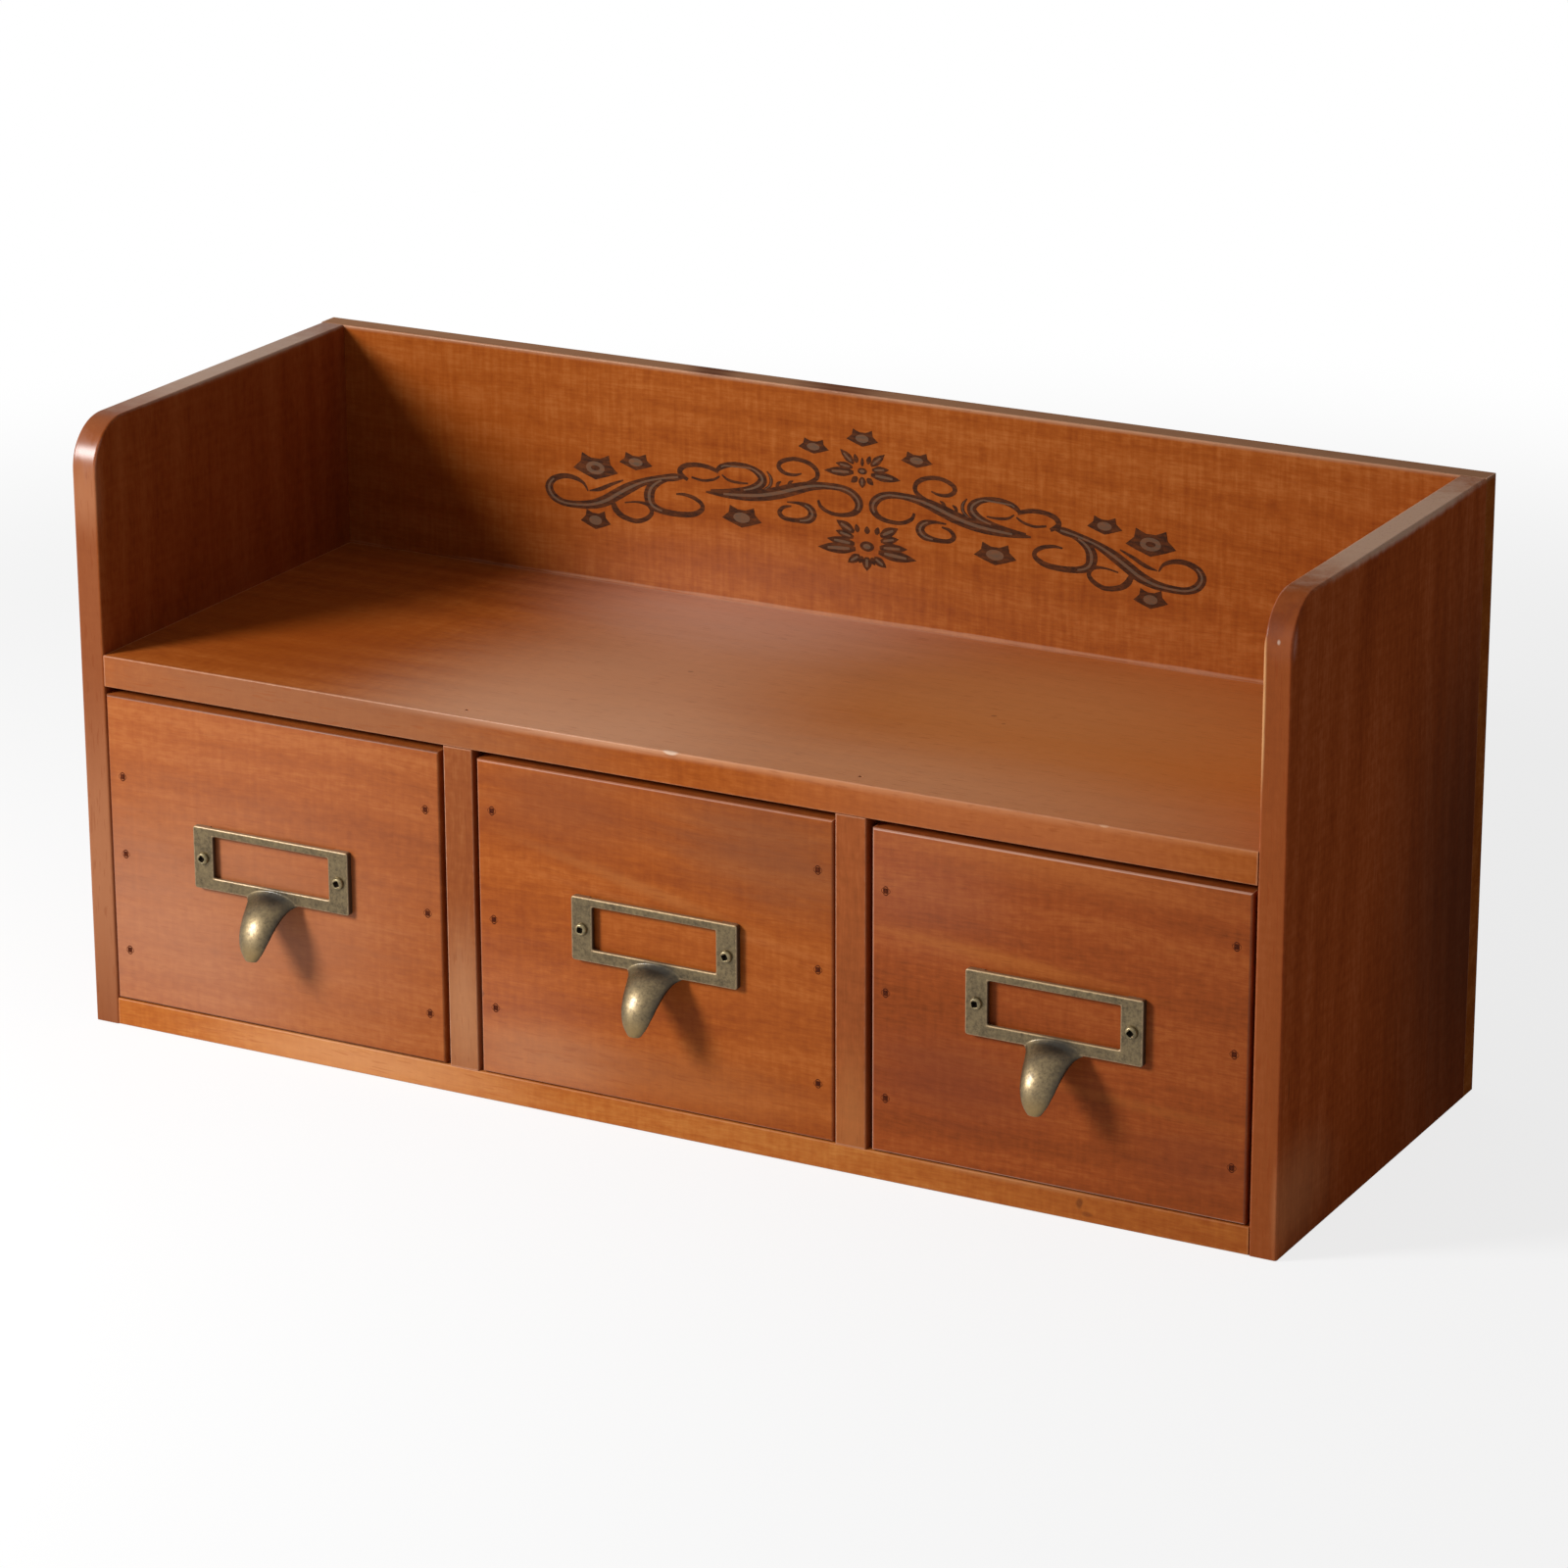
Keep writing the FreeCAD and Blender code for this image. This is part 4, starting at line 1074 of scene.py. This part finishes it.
# out from the axis, up, full width; all in mm
scrolls = {
    "outerLoop": [(104, 157, 0.5), (105.8, 159.6, 1.1), (109.5, 161, 1.6), (113.5, 161, 1.8),
        (117.4, 159.4, 2.3), (119, 156.6, 3), (117.4, 153.6, 2.9), (113.4, 151.9, 2.4), (107.4, 151.9, 2.6),
        (102.2, 152.7, 3.2), (97.2, 154.6, 3.9), (93, 157.2, 4), (88.2, 160.1, 3.7), (82.4, 162.9, 2.6),
        (76, 164.8, 2.4), (70.6, 165.9, 2.6), (67.4, 166.4, 1)],
    "outerLeaf": [(103.5, 157.2, 0.4), (99.5, 158.2, 1.4), (95, 160.4, 1.2), (90.5, 162.4, 0.5)],
    "underCurl": [(97.5, 155.6, 0.5), (94.6, 153.9, 1.9), (93.3, 151.8, 2.3), (90.6, 149.9, 1.9),
        (85.6, 149, 1.6), (81.4, 150.6, 1.6), (79.7, 153, 1.5), (81.4, 155.2, 1.3), (85.4, 155.6, 0.7),
        (90, 154.8, 0.5)],
    "bigCurl": [(72, 165.5, 1.4), (76.4, 163.9, 2.4), (79.6, 161.4, 3.4), (80.7, 158.3, 4),
        (79.7, 155.4, 3.2), (76.4, 153.9, 2.3), (70.4, 153.4, 2), (64.4, 154, 1.9), (60.9, 155.9, 1.7),
        (60.8, 157.9, 1.5), (63.4, 159.6, 1.4), (67.2, 160.4, 1.1), (70.4, 160.2, 0.6)],
    "cloudOuter": [(66, 165.6, 1.2), (68.9, 167.6, 1.9), (67.8, 169.8, 1.8), (63.9, 171, 1.6),
        (58.9, 171, 1.5), (54.4, 169.8, 1.4)],
    "cloudOuterLine": [(64.6, 166.7, 0.7), (60.4, 166.1, 0.9), (56.4, 166.9, 0.9), (54, 168.3, 0.6)],
    "cloudInner": [(55.6, 169.6, 1), (53.4, 171.6, 1.9), (49.4, 172.9, 1.7), (45.4, 173.1, 1.6),
        (41.4, 172.2, 2.1), (38.6, 170.4, 3), (38.2, 168.4, 3.4), (40.4, 166.4, 2.9), (44.4, 165, 2),
        (50.4, 163.9, 1.4), (57.4, 163.2, 0.6)],
    "cloudInnerLine": [(53.2, 169, 0.5), (50.9, 167.5, 0.9), (46.9, 167, 0.9), (43.4, 167.2, 0.5)],
    "crescent": [(36.4, 172.2, 0.4), (34.9, 170, 1.2), (35.2, 167.6, 1.2), (37.6, 165.8, 0.6)],
    "innerStem": [(59.2, 162.4, 0.6), (53.4, 162.5, 2.2), (46.4, 162.9, 3.4), (39.4, 163.7, 3.9),
        (32.4, 165.4, 4.2), (26.4, 167.4, 4), (20.4, 169.2, 3.1), (14.4, 170, 2.3), (9.4, 170, 2.3),
        (5.4, 168.9, 2.7), (2.9, 166.6, 3.1), (2.7, 164.2, 2.7), (4.6, 162.1, 1.9), (8.4, 161, 1.4),
        (12.9, 161.1, 1.3), (16.4, 162.7, 1.3), (17.5, 164.9, 0.9)],
    "upperCurl": [(24.4, 169.2, 0.5), (20.4, 170.6, 1.2), (17.9, 172.4, 1.5), (18.2, 175, 1.6),
        (21.4, 177, 1.5), (26.4, 177.6, 1.4), (30.9, 176.2, 1.5), (32, 174.2, 1.6), (29.9, 172.5, 1.3),
        (26.4, 172.2, 1), (23.6, 173, 0.5)],
    "lowerCurl": [(29, 162.8, 0.5), (24.4, 162.9, 1.2), (20.9, 161.9, 2.4), (19.6, 159.8, 3.2),
        (21.2, 157.8, 2.7), (25.4, 157, 1.6), (29.9, 157.2, 1.5), (31.8, 158.8, 1.6), (30.4, 160.8, 1.2),
        (27.4, 161.6, 0.6)],
    "leafOne": [(32.8, 166.6, 0.8), (32.4, 168.4, 1.2), (31.2, 169.4, 0.4)],
    "leafTwo": [(28.6, 168.2, 0.8), (27.9, 169.5, 1.1), (26.7, 170.2, 0.3)],
}
coredScrolls = ("outerLoop", "bigCurl", "cloudInner", "innerStem", "lowerCurl", "crescent")

# leaf strokes round each rosette: from and to, full width, as offsets from its middle
rosettes = {
    "large": {"at": (-2.2, 151.6), "ring": (2.6, 1.7), "sides": [
        ((4.2, -1.4), (17.9, -2.4), 2.6), ((4.6, 0.2), (14.6, 0.9), 2.2), ((5.0, 2.4), (11.4, 3.9), 1.9),
        ((4.8, 4.2), (11.2, 7.4), 2.3), ((2.6, -3.4), (7.0, -6.2), 2.0), ((1.6, -3.6), (2.9, -6.0), 1.4),
        ((3.4, 4.4), (4.0, 7.0), 1.3)],
        "middle": [((0, -3.6), (0, -8.2), 2.4), ((0, 4.2), (0, 6.8), 1.4)]},
    "small": {"at": (-4.0, 176.6), "ring": (1.7, 1.1), "sides": [
        ((3.2, -0.8), (13.8, -1.4), 2.1), ((3.6, 0.8), (9.6, 1.6), 1.6), ((3.2, 2.2), (8.0, 6.4), 1.8),
        ((2.0, 2.6), (2.8, 5.4), 1.2), ((1.8, -2.2), (4.0, -4.2), 1.4)],
        "middle": [((0, 1.6), (0, 4.6), 0.8), ((0, -2.0), (0, -5.6), 1.8)]},
}
# middle and size, mm; the flowers at the ends have a dark dot on the pale middle
stars = [(-88.2, 168.9, 12.5, 5.8), (-103.8, 147, 11.5, 6.6), (-48.4, 155.3, 14.8, 7.2),
         (-21.8, 182.7, 11.2, 5), (-4, 187.6, 11.4, 5.6), (15.7, 182.8, 11.4, 5), (44, 155.3, 15.2, 7.2),
         (82.4, 170, 12.2, 5.8), (98.8, 148.1, 12, 6.4)]
flowers = [(-103.6, 165.2, 17, 8.8), (98.5, 166.4, 17.5, 8.8)]


def smoothRoute(points, steps=8):
    # curve through all points, with their widths
    route = []
    last = len(points) - 1
    for i in range(last):
        p0, p1, p2, p3 = (Vector(points[min(max(i + k, 0), last)]) for k in (-1, 0, 1, 2))
        for step in range(steps + (i == last - 1)):
            t = step / steps
            route.append(0.5 * (2 * p1 + (p2 - p0) * t + (2 * p0 - 5 * p1 + 4 * p2 - p3) * t ** 2
                                + (3 * p1 - p0 - 3 * p2 + p3) * t ** 3))
    return route


def inkDepths(level):
    # y of a shape's front and back; each level stands a little prouder than the one before
    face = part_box("back_panel")[0].y
    return (face - (ornament["proud"] + level * ornament["step"]) * mm,
            face + (ornament["thick"] - ornament["proud"]) * mm)


def inkShape(bm, outline, level):
    # a thin closed plate on the panel's face from an outline of (x, z) in mm
    loft(bm, [[(x * mm, y, z * mm) for x, z in outline] for y in inkDepths(level)])


def ribbon(bm, route, level, share=1.0):
    front, back = inkDepths(level)
    rings = []
    for i, point in enumerate(route):
        ahead, behind = route[min(i + 1, len(route) - 1)], route[max(i - 1, 0)]
        along = Vector((ahead.x - behind.x, ahead.y - behind.y)).normalized()
        side = Vector((-along.y, along.x)) * max(point.z * share / 2, 0.08)
        rings.append([((point.x + sign * side.x) * mm, y, (point.y + sign * side.y) * mm)
                      for sign, y in ((1, front), (-1, front), (-1, back), (1, back))])
    loft(bm, rings)


def onPanel(points, side):
    axis, tilt = ornament["axis"], ornament["tilt"]
    return [(axis + side * out, up + side * tilt * out, width) for out, up, width in points]


def leafStroke(start, end, width):
    # share of the way and of the width
    a, b = Vector(start), Vector(end)
    shape = ((0, 0.35), (0.35, 1), (0.7, 0.75))
    return [(*(a + (b - a) * way), width * wide) for way, wide in shape] + [(*b, 0.15)]


def starOutline(x, z, wide, tall):
    shape = [(0.3, 0.5), (0.1, 0.33), (-0.1, 0.33), (-0.3, 0.5), (-0.33, 0.16), (-0.5, -0.14), (-0.27, -0.32),
             (0, -0.5), (0.27, -0.32), (0.5, -0.14), (0.33, 0.16)]
    return [(x + wide * u, z + tall * v) for u, v in shape]


def oval(x, z, wide, tall, count=20):
    turns = [2 * math.pi * i / count for i in range(count)]
    return [(x + wide / 2 * math.cos(a), z + tall / 2 * math.sin(a)) for a in turns]


def inkMaterial(name, base, wood):
    # printed ink with the stained grain showing through
    material, surface, coords = newMaterial(name)
    fleck = stretchedNoise(coords["Object"], (500, 500, 1400), 3.0, 0.65)
    lines = stretchedNoise(coords["Object"], (60, 60, 1100))
    thin = plus(times(fleck, 0.6), times(lines, 0.4))
    color = mixColor(span(thin, 0.4, 0.68, 0.08, 0.6), base, wood)
    fill(surface, Base_Color=color, Roughness=span(fleck, 0.3, 0.7, 0.5, 0.62),
         Specular_IOR_Level=0.05)
    bumpFrom(surface, fleck, 0.1, 0.05 * mm)
    return material


def addOrnament():
    dark, pale = bmesh.new(), bmesh.new()
    coreLevel = ornament["coreLevel"]
    first, last, share = ornament["strokeCore"]
    level = 0
    for side in (-1, 1):
        for name, points in scrolls.items():
            route = smoothRoute(onPanel(points, side))
            ribbon(dark, route, level)
            if name in coredScrolls:
                broad = ornament["coreFrom"] * max(point.z for point in route)
                core = [point for point in route if point.z > broad]
                ribbon(pale, core, level + coreLevel, ornament["coreShare"])
            level += 1
    for look in rosettes.values():
        x, z = look["at"]
        for bm, size, up in ((dark, (2, 2), 0), (pale, ornament["ringCore"], coreLevel)):
            wide, tall = (ring * part for ring, part in zip(look["ring"], size))
            inkShape(bm, oval(x, z, wide, tall), level + up)
        strokes = list(look["middle"])
        for side in (-1, 1):
            strokes += [((side * a[0], a[1]), (side * b[0], b[1]), w) for a, b, w in look["sides"]]
        for a, b, w in strokes:
            w *= ornament["thicken"]
            level += 1
            route = smoothRoute(leafStroke((x + a[0], z + a[1]), (x + b[0], z + b[1]), w))
            ribbon(dark, route, level)
            if w > ornament["coredStroke"]:
                ribbon(pale, route[first:last], level + coreLevel, share)
    for places, core in ((stars, "starCore"), (flowers, "flowerCore")):
        coreWide, coreTall, drop = ornament[core]
        for x, z, wide, tall in places:
            level += 1
            low = z - drop * tall
            inkShape(dark, starOutline(x, z, wide, tall), level)
            inkShape(pale, oval(x, low, wide * coreWide, tall * coreTall), level + coreLevel)
            if places is flowers:
                dot = ornament["flowerDot"]
                inkShape(dark, oval(x, low, wide * dot, tall * dot), level + ornament["dotLevel"])
    for name, bm, tone in (("scroll_ornament", dark, "ink"), ("scroll_ornament_cores", pale, "core")):
        piece = newPiece(name, bm, inkMaterial(name, ornament[tone], ornament[tone + "Wood"]))
        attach(piece, "case")


addOrnament()
print("ornament ready")
